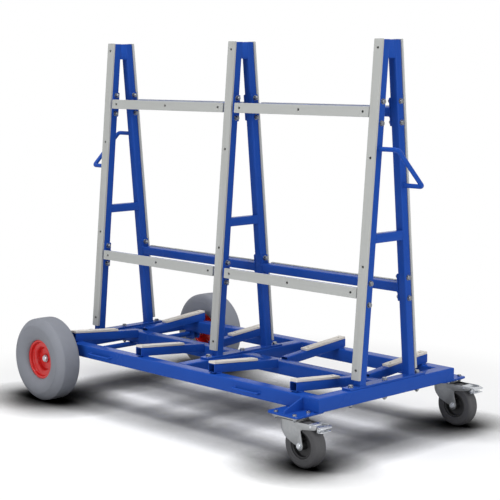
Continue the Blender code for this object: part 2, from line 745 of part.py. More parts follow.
def fork_side_outline():
    """Side view of the fork: crown, leg down to the axle and rear wings."""
    drop = CROWN_TOP - CASTER_RADIUS
    front = [(x * CASTER_TRAIL, CASTER_RADIUS + z * drop) for x, z in FORK_FRONT_SHARES]
    rear = [(x * CASTER_TRAIL, CASTER_RADIUS + z * drop) for x, z in FORK_REAR_SHARES]
    top = CROWN_TOP + OVERRUN
    front[0] = (front[0][0], top)
    rear[-1] = (rear[-1][0], top)
    start = atan2(front[-1][1] - CASTER_RADIUS - FORK_TIP_RADIUS, front[-1][0] - CASTER_TRAIL)
    start = 2 * pi + start if start < 0 else start
    tip = []
    for step in range(BEND_STEPS + 2):
        angle = start + (2 * pi - start) * step / (BEND_STEPS + 1)
        tip.append((
            CASTER_TRAIL + FORK_TIP_RADIUS * cos(angle),
            CASTER_RADIUS + FORK_TIP_RADIUS * sin(angle)))
    return front + tip + rear


def fork_shape():
    """Pressed fork with its crown, lower race and axle bolt."""
    tail = FORK_TAIL_SHARE * CASTER_TRAIL
    height = CROWN_TOP
    outer = prism([fork_outline(FORK_OUTER_HALF, FORK_NOSE_REACH, tail)], height)
    bmesh.ops.translate(outer, vec=Vector((0, 0, height / 2)), verts=outer.verts)
    inside = prism(
        [fork_outline(FORK_INNER_HALF, FORK_NOSE_REACH - FORK_PLATE, tail + OVERRUN)], height)
    bmesh.ops.translate(inside, vec=Vector((0, 0, CROWN_BOTTOM - height / 2)), verts=inside.verts)
    channel = combine(outer, [inside], "DIFFERENCE")
    side_view = prism([fork_side_outline()], 2 * (FORK_OUTER_HALF + OVERRUN), upright=True)
    pressed = combine(channel, [side_view], "INTERSECT")

    clear_radius = CASTER_RADIUS + FORK_WINDOW_CLEARANCE
    crown_rise = CROWN_BOTTOM - CASTER_RADIUS
    window_start = CASTER_TRAIL - sqrt(max(clear_radius ** 2 - crown_rise ** 2, 0))
    window_end = tail + OVERRUN
    window = box(
        (window_end - window_start, 2 * FORK_INNER_HALF, 2 * FORK_PLATE),
        ((window_start + window_end) / 2, 0, CROWN_TOP))
    kingpin_bore = cylinder(
        KINGPIN_RADIUS + RUNNING_GAP, 2 * (FORK_PLATE + LOWER_RACE_HEIGHT), (0, 0, CROWN_TOP))
    pedal_bore = cylinder(
        PEDAL_PIN_RADIUS + RUNNING_GAP, 2 * (FORK_OUTER_HALF + OVERRUN),
        (PEDAL_PIVOT_REACH, 0, PEDAL_PIVOT_HEIGHT), "Y")
    race_height = LOWER_RACE_HEIGHT + WELD_SINK
    race = cylinder(
        LOWER_RACE_RADIUS, race_height, (0, 0, CROWN_TOP - WELD_SINK + race_height / 2),
        sides=CASTER_STEPS)
    axle_place = (CASTER_TRAIL, 0, CASTER_RADIUS)
    axle = cylinder(
        CASTER_AXLE_RADIUS, 2 * (FORK_OUTER_HALF + CASTER_BOLT_HEIGHT / 2), axle_place, "Y")
    heads = []
    for side in SIDES.values():
        head_length = CASTER_BOLT_HEIGHT + WELD_SINK
        y = side * (FORK_OUTER_HALF - WELD_SINK + head_length / 2)
        heads.append(cylinder(
            CASTER_BOLT_RADIUS, head_length, (CASTER_TRAIL, y, CASTER_RADIUS), "Y", 6))
    joined = combine(pressed, [race, axle, *heads], "UNION")
    return combine(joined, [window, kingpin_bore, pedal_bore], "DIFFERENCE")


def caster_tyre_profile():
    """Closed outline of the caster's tyre, radius against height."""
    half = CASTER_TYRE_WIDTH / 2
    seat = CASTER_HUB_RADIUS + SEAT_GAP
    outer = [(seat, CASTER_HUB_RIM_WIDTH / 2), (seat + SEAT_GAP, half)]
    for step in range(SHOULDER_STEPS + 1):
        angle = pi / 2 * (1 - step / SHOULDER_STEPS)
        outer.append((
            CASTER_RADIUS - CASTER_TYRE_ROUNDING * (1 - cos(angle)),
            half - CASTER_TYRE_ROUNDING * (1 - sin(angle))))
    inner = [(radius, -height) for radius, height in reversed(outer)]
    return outer + inner


def caster_hub_profile():
    """Closed outline of the hub: rim, thin web and long boss."""
    inside = CASTER_HUB_RADIUS - CASTER_HUB_RIM
    boss = FORK_INNER_HALF - RUNNING_GAP
    bore = CASTER_AXLE_RADIUS + RUNNING_GAP
    outer = [
        (CASTER_HUB_RADIUS, CASTER_HUB_RIM_WIDTH / 2), (inside, CASTER_HUB_RIM_WIDTH / 2),
        (inside, CASTER_WEB_WIDTH / 2), (CASTER_BOSS_RADIUS, CASTER_WEB_WIDTH / 2),
        (CASTER_BOSS_RADIUS, boss), (bore, boss),
    ]
    return outer + [(radius, -height) for radius, height in reversed(outer)]


def pedal_shape():
    """Bent sheet pedal with its pivot sleeve, pin, brake shoe and release tongue."""
    half_width = FORK_INNER_HALF - PEDAL_SIDE_CLEARANCE
    top_line = [(x * PEDAL_LENGTH, z * PEDAL_LENGTH) for x, z in PEDAL_LINE_SHARES]
    bottom_line = [(x, z - PEDAL_SHEET) for x, z in reversed(top_line)]
    sheet = prism([top_line + bottom_line], 2 * half_width, upright=True)
    sleeve = cylinder(PEDAL_SLEEVE_RADIUS, 2 * half_width, axis="Y")
    pin = cylinder(PEDAL_PIN_RADIUS, 2 * FORK_OUTER_HALF, axis="Y")
    shoe = box(
        (SHOE_LENGTH, SHOE_WIDTH, SHOE_HEIGHT), (SHOE_REACH + SHOE_LENGTH / 2, 0, -SHOE_HEIGHT / 2))
    tongue_inner = PEDAL_LENGTH - TONGUE_LENGTH
    tongue = box(
        (TONGUE_LENGTH, TONGUE_WIDTH, PEDAL_SHEET),
        (PEDAL_LENGTH - TONGUE_LENGTH / 2, 0, -TONGUE_DROP), PEDAL_SHEET)
    web = box(
        (PEDAL_SHEET, TONGUE_WEB_WIDTH, TONGUE_DROP + PEDAL_SHEET),
        (tongue_inner + PEDAL_SHEET / 2, 0, (PEDAL_SHEET - TONGUE_DROP) / 2))
    return combine(sleeve, [pin, sheet, shoe, web, tongue], "UNION")


def add_casters(collection):
    """Two braked swivel casters under the front corners."""
    plate_mesh = mesh_of("caster_plate", caster_plate_shape(), "zinc_steel")
    fork_mesh = mesh_of("caster_fork", fork_shape(), "zinc_steel")
    tyre_mesh = mesh_of("caster_tyre", turned(caster_tyre_profile(), CASTER_STEPS), "dark_rubber")
    hub_mesh = mesh_of("caster_hub", turned(caster_hub_profile(), CASTER_STEPS), "black_hub")
    pedal_mesh = mesh_of("brake_pedal", pedal_shape(), "bright_zinc")
    for side_name, side in SIDES.items():
        swivel = guide(collection, f"caster_{side_name}", (SWIVEL_X, side * SWIVEL_Y, 0))
        place(collection, f"caster_plate_{side_name}", plate_mesh, parent=swivel)
        place(collection, f"caster_fork_{side_name}", fork_mesh, parent=swivel)
        wheel = guide(
            collection, f"caster_wheel_{side_name}", (CASTER_TRAIL, 0, CASTER_RADIUS),
            (-side * pi / 2, 0, 0), swivel)
        place(collection, f"caster_tyre_{side_name}", tyre_mesh, parent=wheel)
        place(collection, f"caster_hub_{side_name}", hub_mesh, parent=wheel)
        place(collection, f"brake_pedal_{side_name}", pedal_mesh,
              (PEDAL_PIVOT_REACH, 0, PEDAL_PIVOT_HEIGHT), parent=swivel)


def clear_scene():
    """Remove every object that the file opened with."""
    for scene_object in list(bpy.data.objects):
        bpy.data.objects.remove(scene_object)


def build():
    """Make the whole trolley in its own collection."""
    clear_scene()
    collection = bpy.data.collections.new("slab_buggy")
    bpy.context.scene.collection.children.link(collection)
    base_mesh = mesh_of("base_frame", base_frame_shape(), "blue_paint")
    place(collection, "base_frame", base_mesh)
    add_arms(collection)
    add_a_frames(collection)
    for side_name, side in SIDES.items():
        face = guide(
            collection, f"slab_face_{side_name}", (0, side * TOP_HALF_SPREAD, FRAME_TOP),
            (side * LEAN, 0, 0))
        add_leg_strips(collection, face, side_name, side)
        add_rails(collection, face, side_name, side)
    add_handles(collection)
    add_rear_wheels(collection)
    add_casters(collection)
    bpy.context.view_layer.update()


build()
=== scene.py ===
"""Looks of a slab buggy: a wheeled A-frame trolley that carries slabs on both sides.

Lengths are in metres, +X towards the swivel casters, +Y to the left side, +Z up and
the origin on the floor under the middle of the trolley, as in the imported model.
"""

import logging
from collections.abc import Sequence
from dataclasses import dataclass, field
from enum import Enum
from math import cos, pi, radians, sin, sqrt, tan
from typing import ClassVar

import bmesh
import bpy
from mathutils import Matrix, Vector


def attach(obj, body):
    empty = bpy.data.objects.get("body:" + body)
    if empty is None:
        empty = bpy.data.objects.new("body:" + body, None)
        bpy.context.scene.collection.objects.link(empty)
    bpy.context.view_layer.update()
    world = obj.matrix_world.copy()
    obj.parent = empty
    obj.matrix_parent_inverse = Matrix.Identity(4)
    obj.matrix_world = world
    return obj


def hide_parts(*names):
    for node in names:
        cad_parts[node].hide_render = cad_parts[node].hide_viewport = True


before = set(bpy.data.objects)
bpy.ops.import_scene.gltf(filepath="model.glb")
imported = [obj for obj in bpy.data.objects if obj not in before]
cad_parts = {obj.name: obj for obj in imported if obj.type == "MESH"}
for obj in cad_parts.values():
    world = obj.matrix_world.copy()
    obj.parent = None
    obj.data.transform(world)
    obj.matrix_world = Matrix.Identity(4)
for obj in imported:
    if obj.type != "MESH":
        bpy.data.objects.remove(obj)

log = logging.getLogger("slab_buggy")

SIDES = {"right": -1, "left": 1}
LEVELS = ("lower", "upper")
BAYS = {"rear": -1, "front": 1}
FRAMES = {"rear": -1, "middle": 0, "front": 1}
UP = Vector((0, 0, 1))
ALONG = Vector((1, 0, 0))
ACROSS = Vector((0, 1, 0))
SNAP = 0.00005  # Points of a boolean that are nearer than this are one.
MOST = 0.48  # Most of an edge that the rounding of one of its corners takes.
THREAD_ROOT = 0.88  # Radius at a thread's root, beside the bolt's own.
THREAD_TIP = 0.82  # Radius at the end of its chamfer.
HEAD_FACE = 0.475  # Radius of a hexagon head's round face, beside its size across flats.
HEAD_EASE = (0.88, 0.7)  # Where a round head's eased rim ends on its top and on its side.
HOLE_STEPS = 28
BORE_STEPS = 32

Shape = bmesh.types.BMesh
Ring = list[Vector]
Colour = tuple[float, float, float, float]
Tree = bpy.types.NodeTree
Socket = bpy.types.NodeSocket


# Materials


def linear(code: str) -> Colour:
    """Turn an sRGB hex colour to linear light.

    Args:
        code: The colour as "#rrggbb".

    Returns:
        Red, green, blue and an alpha of one.
    """
    values = []
    for start in (1, 3, 5):
        value = int(code[start:start + 2], 16) / 255
        values.append(value / 12.92 if value <= 0.04045 else ((value + 0.055) / 1.055) ** 2.4)
    return values[0], values[1], values[2], 1.0


def add(tree: Tree, kind: str, inputs: dict | None = None, **settings: object) -> bpy.types.Node:
    """Add a node with its settings, values and links.

    Args:
        tree: The node tree that gets the node.
        kind: The node's type name.
        inputs: Input names or places, each with a value or with a socket to link.
        settings: The node's own properties.

    Returns:
        The new node.
    """
    made = tree.nodes.new(kind)
    for name, value in settings.items():
        setattr(made, name, value)
    for key, value in (inputs or {}).items():
        socket = made.inputs[key]
        if isinstance(value, Socket):
            tree.links.new(value, socket)
        else:
            socket.default_value = value
    return made


def maths(tree: Tree, operation: str, *values: float | Socket) -> Socket:
    """Result of one sum of a node tree."""
    return add(tree, "ShaderNodeMath", dict(enumerate(values)), operation=operation).outputs[0]


def noise(tree: Tree, place: Socket, spacing: float, detail: float,
          roughness: float = 0.5) -> Socket:
    """Random pattern whose hills lie a real distance apart."""
    return add(tree, "ShaderNodeTexNoise", {
        "Vector": place, "Scale": 1 / spacing, "Detail": detail,
        "Roughness": roughness}).outputs["Fac"]


def tinted(tree: Tree, share: Socket, colour: str, shade: str) -> Socket:
    """Mix of two sRGB colours by a share."""
    return add(tree, "ShaderNodeMix", {
        0: share, 6: linear(colour), 7: linear(shade)}, data_type="RGBA").outputs[2]


def ranged(tree: Tree, value: Socket, source: tuple[float, float],
           target: tuple[float, float]) -> Socket:
    """Value brought from one range to another, and held within it."""
    return add(tree, "ShaderNodeMapRange", {
        "Value": value, "From Min": source[0], "From Max": source[1],
        "To Min": target[0], "To Max": target[1]}).outputs["Result"]


def relief(tree: Tree, height: Socket, strength: float, depth: float) -> Socket:
    """Normal of a skin with a fine relief of a real depth."""
    return add(tree, "ShaderNodeBump", {
        "Height": height, "Strength": strength, "Distance": depth}).outputs["Normal"]


@dataclass(frozen=True)
class Finish:
    """What every finish shares: its name, its slot and the way its material is made."""

    slot: ClassVar[str]
    name: str = "finish"

    def surface(self, tree: Tree, place: Socket) -> dict:
        """Give the shader's inputs; each finish has its own."""
        raise NotImplementedError

    def material(self) -> bpy.types.Material:
        """Give the finish's material, made at its first use.

        Returns:
            The material.
        """
        known = bpy.data.materials.get(self.name)
        if known:
            return known
        made = bpy.data.materials.new(self.name)
        made.use_nodes = True
        tree = made.node_tree
        tree.nodes.clear()
        place = add(tree, "ShaderNodeTexCoord").outputs["Object"]
        shader = add(tree, "ShaderNodeBsdfPrincipled", self.surface(tree, place))
        add(tree, "ShaderNodeOutputMaterial", {"Surface": shader.outputs["BSDF"]})
        return made


@dataclass(frozen=True)
class CloudyFinish(Finish):
    """Skin whose tone drifts in soft clouds, over a fine and even relief.

    Two roughness values are the ends between which the gloss drifts along; one is even.
    """

    colour: str = "#808080"
    shade: str = "#707070"
    roughness: tuple[float, ...] = (0.5,)
    cloud_size: float = 0.1
    cloud_detail: float = 4.0
    cloud_range: tuple[float, float] = (0.3, 0.7)
    relief_spacing: float = 0.001
    relief_detail: float = 1.0
    relief_depth: float = 0.00002
    relief_strength: float = 0.2

    def constants(self) -> dict:
        """Give the shader's inputs that are the same all over."""
        raise NotImplementedError

    def surface(self, tree: Tree, place: Socket) -> dict:
        """Clouded colour and gloss over the relief.

        Args:
            tree: The material's node tree.
            place: The object's coordinates.

        Returns:
            The shader's inputs by name.
        """
        cloud = noise(tree, place, self.cloud_size, self.cloud_detail)
        tint = tinted(tree, cloud, self.colour, self.shade)
        rough = self.roughness[0]
        if len(self.roughness) == 2:
            rough = ranged(tree, cloud, self.cloud_range, self.roughness)
        fine = noise(tree, place, self.relief_spacing, self.relief_detail)
        normal = relief(tree, fine, self.relief_strength, self.relief_depth)
        return {"Base Color": tint, "Roughness": rough, "Normal": normal, **self.constants()}


@dataclass(frozen=True)
class PowderCoat(CloudyFinish):
    """Polyester powder coat, sprayed and baked on welded steel.

    It gives an even colour under a satin skin, with the faint orange peel that the
    coat keeps where it flowed out, its hills about 2 mm apart.
    """

    slot: ClassVar[str] = "blue_paint"
    name: str = "powder_coat_blue"
    colour: str = "#1f4ba3"
    shade: str = "#1b459a"
    roughness: tuple[float, ...] = (0.22, 0.28)
    gloss: float = 0.07
    cloud_size: float = 0.12
    cloud_detail: float = 3.0
    cloud_range: tuple[float, float] = (0.35, 0.65)
    relief_spacing: float = 0.002
    relief_depth: float = 0.00003
    relief_strength: float = 0.18

    def constants(self) -> dict:
        """Refraction and shine of the resin."""
        return {"IOR": 1.5, "Specular IOR Level": self.gloss}


@dataclass(frozen=True)
class RimEnamel(PowderCoat):
    """Gloss enamel on a pressed steel rim: deep red with a wet highlight."""

    slot: ClassVar[str] = "red_rim"
    name: str = "rim_enamel_red"
    colour: str = "#cc2422"
    shade: str = "#bb1f1f"
    roughness: tuple[float, ...] = (0.14, 0.2)
    gloss: float = 0.4
    relief_strength: float = 0.1


class Grain(Enum):
    """Direction in which a wear strip was extruded and gets scratched."""

    UPRIGHT = (1.0, 1.0, 0.04)
    LEVEL = (0.04, 1.0, 1.0)
    CROSSWISE = (1.0, 0.04, 1.0)


@dataclass(frozen=True)
class WearStrip(Finish):
    """Extruded polyethylene strip: pale grey, waxy and matte.

    The extruder leaves faint lines along it, drawn 1.2 mm apart so that they show,
    and slabs leave a few dull rubs.
    """

    slot: ClassVar[str] = "grey_strip"
    name: str = "polyethylene_strip"
    grain: Grain = Grain.UPRIGHT
    colour: str = "#a9aba9"
    rub: str = "#9c9c99"
    line_spacing: float = 0.0012
    line_height: float = 0.00004
    line_strength: float = 0.3
    rub_size: float = 0.05
    rub_range: tuple[float, float] = (0.5, 0.75)
    rub_share: float = 0.7
    roughness: tuple[float, float] = (0.42, 0.62)

    def surface(self, tree: Tree, place: Socket) -> dict:
        """Colour with rubs, waxy gloss and extruded lines.

        Args:
            tree: The material's node tree.
            place: The object's coordinates.

        Returns:
            The shader's inputs by name.
        """
        along = add(tree, "ShaderNodeMapping", {
            "Vector": place, "Scale": self.grain.value}).outputs["Vector"]
        lines = noise(tree, along, self.line_spacing, 2.0)
        rubs = noise(tree, along, self.rub_size, 5.0, roughness=0.6)
        rubbed = ranged(tree, rubs, self.rub_range, (0.0, self.rub_share))
        tint = tinted(tree, rubbed, self.colour, self.rub)
        rough = ranged(tree, rubs, (0.0, 1.0), self.roughness)
        normal = relief(tree, lines, self.line_strength, self.line_height)
        return {"Base Color": tint, "Roughness": rough, "Normal": normal, "IOR": 1.5}


@dataclass(frozen=True)
class FoamTyre(CloudyFinish):
    """Solid polyurethane foam tyre, moulded: grey, dry and slightly porous.

    Its closed skin has fine pits, drawn 1.5 mm apart, and cloudy tone.
    """

    slot: ClassVar[str] = "grey_foam_tyre"
    name: str = "polyurethane_foam_grey"
    colour: str = "#80838b"
    shade: str = "#757880"
    roughness: tuple[float, ...] = (0.72,)
    cloud_size: float = 0.06
    relief_spacing: float = 0.0015
    relief_detail: float = 2.0
    relief_depth: float = 0.00008
    relief_strength: float = 0.35

    def constants(self) -> dict:
        """Refraction of the moulded skin."""
        return {"IOR": 1.45}


@dataclass(frozen=True)
class SolidRubber(FoamTyre):
    """Moulded solid rubber of a caster's tyre: dark grey with a dry bloom."""

    slot: ClassVar[str] = "dark_rubber"
    name: str = "solid_rubber_dark"
    colour: str = "#464648"
    shade: str = "#3e3e41"
    roughness: tuple[float, ...] = (0.6,)


@dataclass(frozen=True)
class BlackNylon(FoamTyre):
    """Injection-moulded nylon of a wheel body: black with an eggshell sheen."""

    slot: ClassVar[str] = "black_hub"
    name: str = "nylon_black"
    colour: str = "#242426"
    shade: str = "#1e1e20"
    roughness: tuple[float, ...] = (0.45,)


@dataclass(frozen=True)
class ZincPlate(CloudyFinish):
    """Blue-passivated zinc plate on steel: bright, with a fine grain and cloudy gloss.

    The bath leaves patches of about a centimetre that differ in tone and gloss.
    """

    slot: ClassVar[str] = "bright_zinc"
    name: str = "zinc_plate_bright"
    colour: str = "#c9ccd0"
    shade: str = "#b7babf"
    roughness: tuple[float, ...] = (0.22, 0.36)
    cloud_size: float = 0.012
    relief_spacing: float = 0.0008

    def constants(self) -> dict:
        """Bare metal, which keeps the shader's own refraction."""
        return {"Metallic": 1.0}


@dataclass(frozen=True)
class PressedZinc(ZincPlate):
    """Zinc plate on deep-drawn sheet: duller and greyer than on turned pieces."""

    slot: ClassVar[str] = "zinc_steel"
    name: str = "zinc_plate_pressed"
    colour: str = "#9fa1a3"
    shade: str = "#919395"
    roughness: tuple[float, ...] = (0.36, 0.48)


@dataclass(frozen=True)
class BlackOxide(ZincPlate):
    """Black oxide on a socket screw: dark, oily and half matte."""

    slot: ClassVar[str] = "zinc_steel"
    name: str = "black_oxide"
    colour: str = "#2c2c2e"
    shade: str = "#242426"
    roughness: tuple[float, ...] = (0.4, 0.5)


BLUE = PowderCoat()
RED = RimEnamel()
STRIP_UPRIGHT = WearStrip("polyethylene_strip_upright", Grain.UPRIGHT)
STRIP_LEVEL = WearStrip("polyethylene_strip_level", Grain.LEVEL)
# Pads: a cream tone of their own, made paler than the upright strips as painted light on their
# tops, which face the overhead lamp.
PAD_STRIP_PAINTED_PALER = WearStrip("polyethylene_pad", Grain.CROSSWISE, "#cfcac2", "#bfb9b0")
FOAM = FoamTyre()
RUBBER = SolidRubber()
NYLON = BlackNylon()
BRIGHT = ZincPlate()
# Fastener zinc: duller than the bright zinc, and darkened further as a painted reflection of the
# blue paint and shade round the bolts.
FASTENER_ZINC_PAINTED_DARKER = ZincPlate("zinc_plate_fastener", "#94979c", "#83868b", (0.2, 0.32))
PRESSED = PressedZinc()
OXIDE = BlackOxide()


# Mesh tools


def ring_of_box(width: float, height: float, radius: float, steps: int = 4) -> Ring:
    """Outline of a rectangle with round corners, anticlockwise in the XY plane.

    Args:
        width: Size along X.
        height: Size along Y.
        radius: Radius of the corners.
        steps: Steps in each corner.

    Returns:
        The outline's points.
    """
    ring = []
    for x_sign, y_sign, start in ((1, 1, 0), (-1, 1, 90), (-1, -1, 180), (1, -1, 270)):
        for step in range(steps + 1):
            angle = radians(start + 90 * step / steps)
            ring.append(Vector((
                x_sign * (width / 2 - radius) + radius * cos(angle),
                y_sign * (height / 2 - radius) + radius * sin(angle), 0)))
    return ring


def skin(rings: Sequence[Ring], loop: bool = False) -> Shape:
    """Closed surface through rings of equally many points.

    Args:
        rings: The rings in order.
        loop: Join the last ring to the first, and leave out the two end faces.

    Returns:
        The new shape.
    """
    shape = bmesh.new()
    rows = [[shape.verts.new(point) for point in ring] for ring in rings]
    pairs = list(zip(rows, rows[1:]))
    if loop:
        pairs.append((rows[-1], rows[0]))
    else:
        shape.faces.new(list(reversed(rows[0])))
        shape.faces.new(rows[-1])
    for low, high in pairs:
        for index in range(len(low)):
            after = (index + 1) % len(low)
            shape.faces.new((low[index], low[after], high[after], high[index]))
    bmesh.ops.recalc_face_normals(shape, faces=shape.faces)
    return shape


def moved(shape: Shape, *matrices: Matrix) -> Shape:
    """Move a shape by each matrix in turn.

    Args:
        shape: The shape, which is changed.
        matrices: The moves in order.

    Returns:
        The same shape.
    """
    for matrix in matrices:
        shape.transform(matrix)
    return shape


def at(x: float, y: float, z: float) -> Matrix:
    """Shift by x, y and z."""
    return Matrix.Translation((x, y, z))


def turn(angle: float, axis: str) -> Matrix:
    """Turn about an axis through the origin."""
    return Matrix.Rotation(angle, 4, axis)


def joined(shapes: Sequence[Shape]) -> Shape:
    """Put several shapes side by side in one.

    Args:
        shapes: The shapes, which are freed.

    Returns:
        The shape that holds them all.
    """
    whole = bmesh.new()
    for shape in shapes:
        mesh = bpy.data.meshes.new("part")
        shape.to_mesh(mesh)
        shape.free()
        whole.from_mesh(mesh)
        bpy.data.meshes.remove(mesh)
    return whole


def tube(start: Vector, end: Vector, across: Vector, size: tuple[float, float], radius: float,
         planes: tuple[Vector | None, Vector | None] = (None, None), wall: float = 0.0,
         steps: int = 4) -> Shape:
    """Straight square tube with round corners, cut at each end by a plane.

    Args:
        start: Middle of the first end.
        end: Middle of the second end.
        across: Direction of the first of the two sizes.
        size: Width and height across the tube.
        radius: Outer radius of its corners.
        planes: Normals of the two cuts, square to the tube where None.
        wall: Thickness of the wall, or zero for closed ends.
        steps: Steps in each corner.

    Returns:
        The tube's shape.
    """
    axis = (end - start).normalized()
    upward = axis.cross(across).normalized()

    def cut(place: Vector, normal: Vector | None, inset: float) -> Ring:
        """Outline on the plane of one end.

        Args:
            place: Middle of the end.
            normal: Normal of the plane, square to the tube where None.
            inset: Distance inside the outer skin.

        Returns:
            The outline's points.
        """
        normal = normal or axis
        outline = ring_of_box(
            size[0] - 2 * inset, size[1] - 2 * inset, max(radius - inset, radius / 3), steps)
        ring = []
        for point in outline:
            offset = across * point.x + upward * point.y
            ring.append(place + offset - axis * offset.dot(normal) / axis.dot(normal))
        return ring

    rings = [cut(start, planes[0], 0), cut(end, planes[1], 0)]
    if wall:
        rings += [cut(end, planes[1], wall), cut(start, planes[0], wall)]
    return skin(rings, loop=bool(wall))


def plate(size: tuple[float, float, float], corner: float, edge: float = 0.0008,
          steps: int = 5) -> Shape:
    """Flat plate about the origin with round corners and softened edges.

    Args:
        size: Size along X, Y and Z.
        corner: Radius of the four upright corners.
        edge: Size of the soft edge round both faces.
        steps: Steps in each corner.

    Returns:
        The plate's shape.
    """
    half = size[2] / 2
    width, height, _ = size
    inset = ring_of_box(width - 2 * edge, height - 2 * edge, max(corner - edge, edge / 2), steps)
    full = ring_of_box(width, height, corner, steps)
    rings = []
    for ring, level in ((inset, -half), (full, edge - half), (full, half - edge), (inset, half)):
        rings.append([point + UP * level for point in ring])
    return skin(rings)


def softened(corners: Sequence[Sequence[float]], radius: float, loop: bool = False,
             steps: int = 4) -> Ring:
    """Path whose corners are rounded.

    Args:
        corners: The path's corners, each with two or three coordinates.
        radius: Distance from a corner at which its round starts.
        loop: Whether the path is closed.
        steps: Steps in each round.

    Returns:
        The path's points.
    """
    points = [Vector((*corner, 0)) if len(corner) == 2 else Vector(corner) for corner in corners]
    count = len(points)
    path = [] if loop else [points[0]]
    for index in range(0 if loop else 1, count if loop else count - 1):
        before, corner, after = points[index - 1], points[index], points[(index + 1) % count]
        first = before - corner
        last = after - corner
        near = corner + first.normalized() * min(radius, first.length * MOST)
        far = corner + last.normalized() * min(radius, last.length * MOST)
        for step in range(steps + 1):
            share = step / steps
            path.append(
                near * (1 - share) ** 2 + corner * 2 * share * (1 - share) + far * share ** 2)
    if not loop:
        path.append(points[-1])
    return path


def around(steps: int) -> list[float]:
    """Angles of even steps round a circle."""
    return [2 * pi * step / steps for step in range(steps)]


def turned(profile: Ring, steps: int, loop: bool = True) -> Shape:
    """Profile of (radius, height) points turned about Z.

    Args:
        profile: The points; their x is a radius and their y a height.
        steps: Steps round the axis.
        loop: Whether the profile is closed, as on a ring.

    Returns:
        The turned shape.
    """
    rings = []
    for point in profile:
        rings.append([Vector((point.x * cos(angle), point.x * sin(angle), point.y))
                      for angle in around(steps)])
    return skin(rings, loop)


def rod(path: Ring, radius: float, sides: int = 20) -> Shape:
    """Round bar along a path, with flat ends.

    Args:
        path: The points of its middle line.
        radius: The bar's radius.
        sides: Sides of its section.

    Returns:
        The bar's shape.
    """
    rings = []
    normal = None
    for index, point in enumerate(path):
        ahead = path[min(index + 1, len(path) - 1)] - path[max(index - 1, 0)]
        axis = ahead.normalized()
        if normal is None:
            normal = axis.orthogonal().normalized()
        normal = (normal - axis * normal.dot(axis)).normalized()
        binormal = axis.cross(normal)
        rings.append([point + (normal * cos(angle) + binormal * sin(angle)) * radius
                      for angle in around(sides)])
    return skin(rings)


def cylinder(radius: float, low: float, high: float, steps: int) -> Shape:
    """Round bar about Z between two heights."""
    return turned([Vector((radius, low, 0)), Vector((radius, high, 0))], steps, loop=False)


def extruded(outline: Ring, thickness: float) -> Shape:
    """Give a flat outline in the XY plane a thickness about it.

    Args:
        outline: The outline's points.
        thickness: Thickness, half of it on each side of the outline.

    Returns:
        The new shape.
    """
    rings = []
    for height in (-thickness / 2, thickness / 2):
        rings.append([point + UP * height for point in outline])
    return skin(rings)


def linked(name: str, data: bpy.types.ID) -> bpy.types.Object:
    """Put a new object in the scene.

    Args:
        name: The object's name.
        data: Its mesh, camera or lamp.

    Returns:
        The object.
    """
    made = bpy.data.objects.new(name, data)
    bpy.context.scene.collection.objects.link(made)
    return made


def scene_object(name: str, shape: Shape) -> bpy.types.Object:
    """Put a shape in the scene as an object.

    Args:
        name: The object's name.
        shape: The shape, which is freed.

    Returns:
        The object.
    """
    mesh = bpy.data.meshes.new(name)
    shape.to_mesh(mesh)
    shape.free()
    return linked(name, mesh)


def settle(thing: bpy.types.Object) -> None:
    """Turn an object's modifiers into a plain mesh.

    Args:
        thing: The object, which is changed.
    """
    bpy.context.view_layer.update()
    evaluated = thing.evaluated_get(bpy.context.evaluated_depsgraph_get())
    mesh = bpy.data.meshes.new_from_object(evaluated)
    thing.modifiers.clear()
    thing.data = mesh


def combined(body: Shape, others: Sequence[Shape], operation: str) -> Shape:
    """Boolean of a shape with others, all of which are used up.

    Args:
        body: The shape that the others change.
        others: The shapes that are added, cut out or intersected in turn.
        operation: UNION, DIFFERENCE or INTERSECT.

    Returns:
        The changed shape.
    """
    base = scene_object("base", body)
    tools = [scene_object("tool", other) for other in others]
    for tool in tools:
        modifier = base.modifiers.new("combine", "BOOLEAN")
        modifier.operation = operation
        modifier.solver = "EXACT"
        modifier.object = tool
    settle(base)
    shape = bmesh.new()
    shape.from_mesh(base.data)
    for thing in (base, *tools):
        bpy.data.objects.remove(thing)
    return shape


def without_slivers(shape: Shape) -> Shape:
    """Merge nearly touching points, so that a bevel stays clean.

    Args:
        shape: The shape, which is changed.

    Returns:
        The same shape.
    """
    bmesh.ops.remove_doubles(shape, verts=shape.verts, dist=SNAP)
    bmesh.ops.dissolve_degenerate(shape, edges=shape.edges, dist=SNAP)
    return shape


def hand_over(made: bpy.types.Object, finish: Finish, body: str, *stands_for: str) -> None:
    """Tie a finished piece to its body, and hide the solids that it replaces.

    Args:
        made: The piece.
        finish: Its finish; not used.
        body: Name of the body that carries it.
        stands_for: Names of the solids that it stands for.
    """
    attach(made, body)
    if stands_for:
        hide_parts(*stands_for)
    log.info("%s: %d faces on %s", made.name, len(made.data.polygons), body)


def deliver(name: str, shape: Shape, finish: Finish, body: str, *stands_for: str,
            angle: float = radians(40), edge: float = 0.0) -> None:
    """Make a finished piece: its edges eased, smooth-shaded and with its material.

    Args:
        name: The piece's name.
        shape: Its shape, which is used up.
        finish: Its finish.
        body: Name of the body that carries it.
        stands_for: Names of the solids that it stands for.
        angle: Angle above which an edge stays sharp.
        edge: Width of a bevel on the sharp edges, or zero.
    """
    made = scene_object(name, shape)
    if edge:
        bevel = made.modifiers.new("edge", "BEVEL")
        bevel.width = edge
        bevel.segments = 2
        bevel.limit_method = "ANGLE"
        bevel.angle_limit = angle
        bevel.use_clamp_overlap = True
        settle(made)
    made.data.materials.clear()
    made.data.materials.append(finish.material())
    made.data.shade_smooth()
    made.data.set_sharp_from_angle(angle=angle)
    hand_over(made, finish, body, *stands_for)


# Fasteners and welds, repeated by geometry nodes


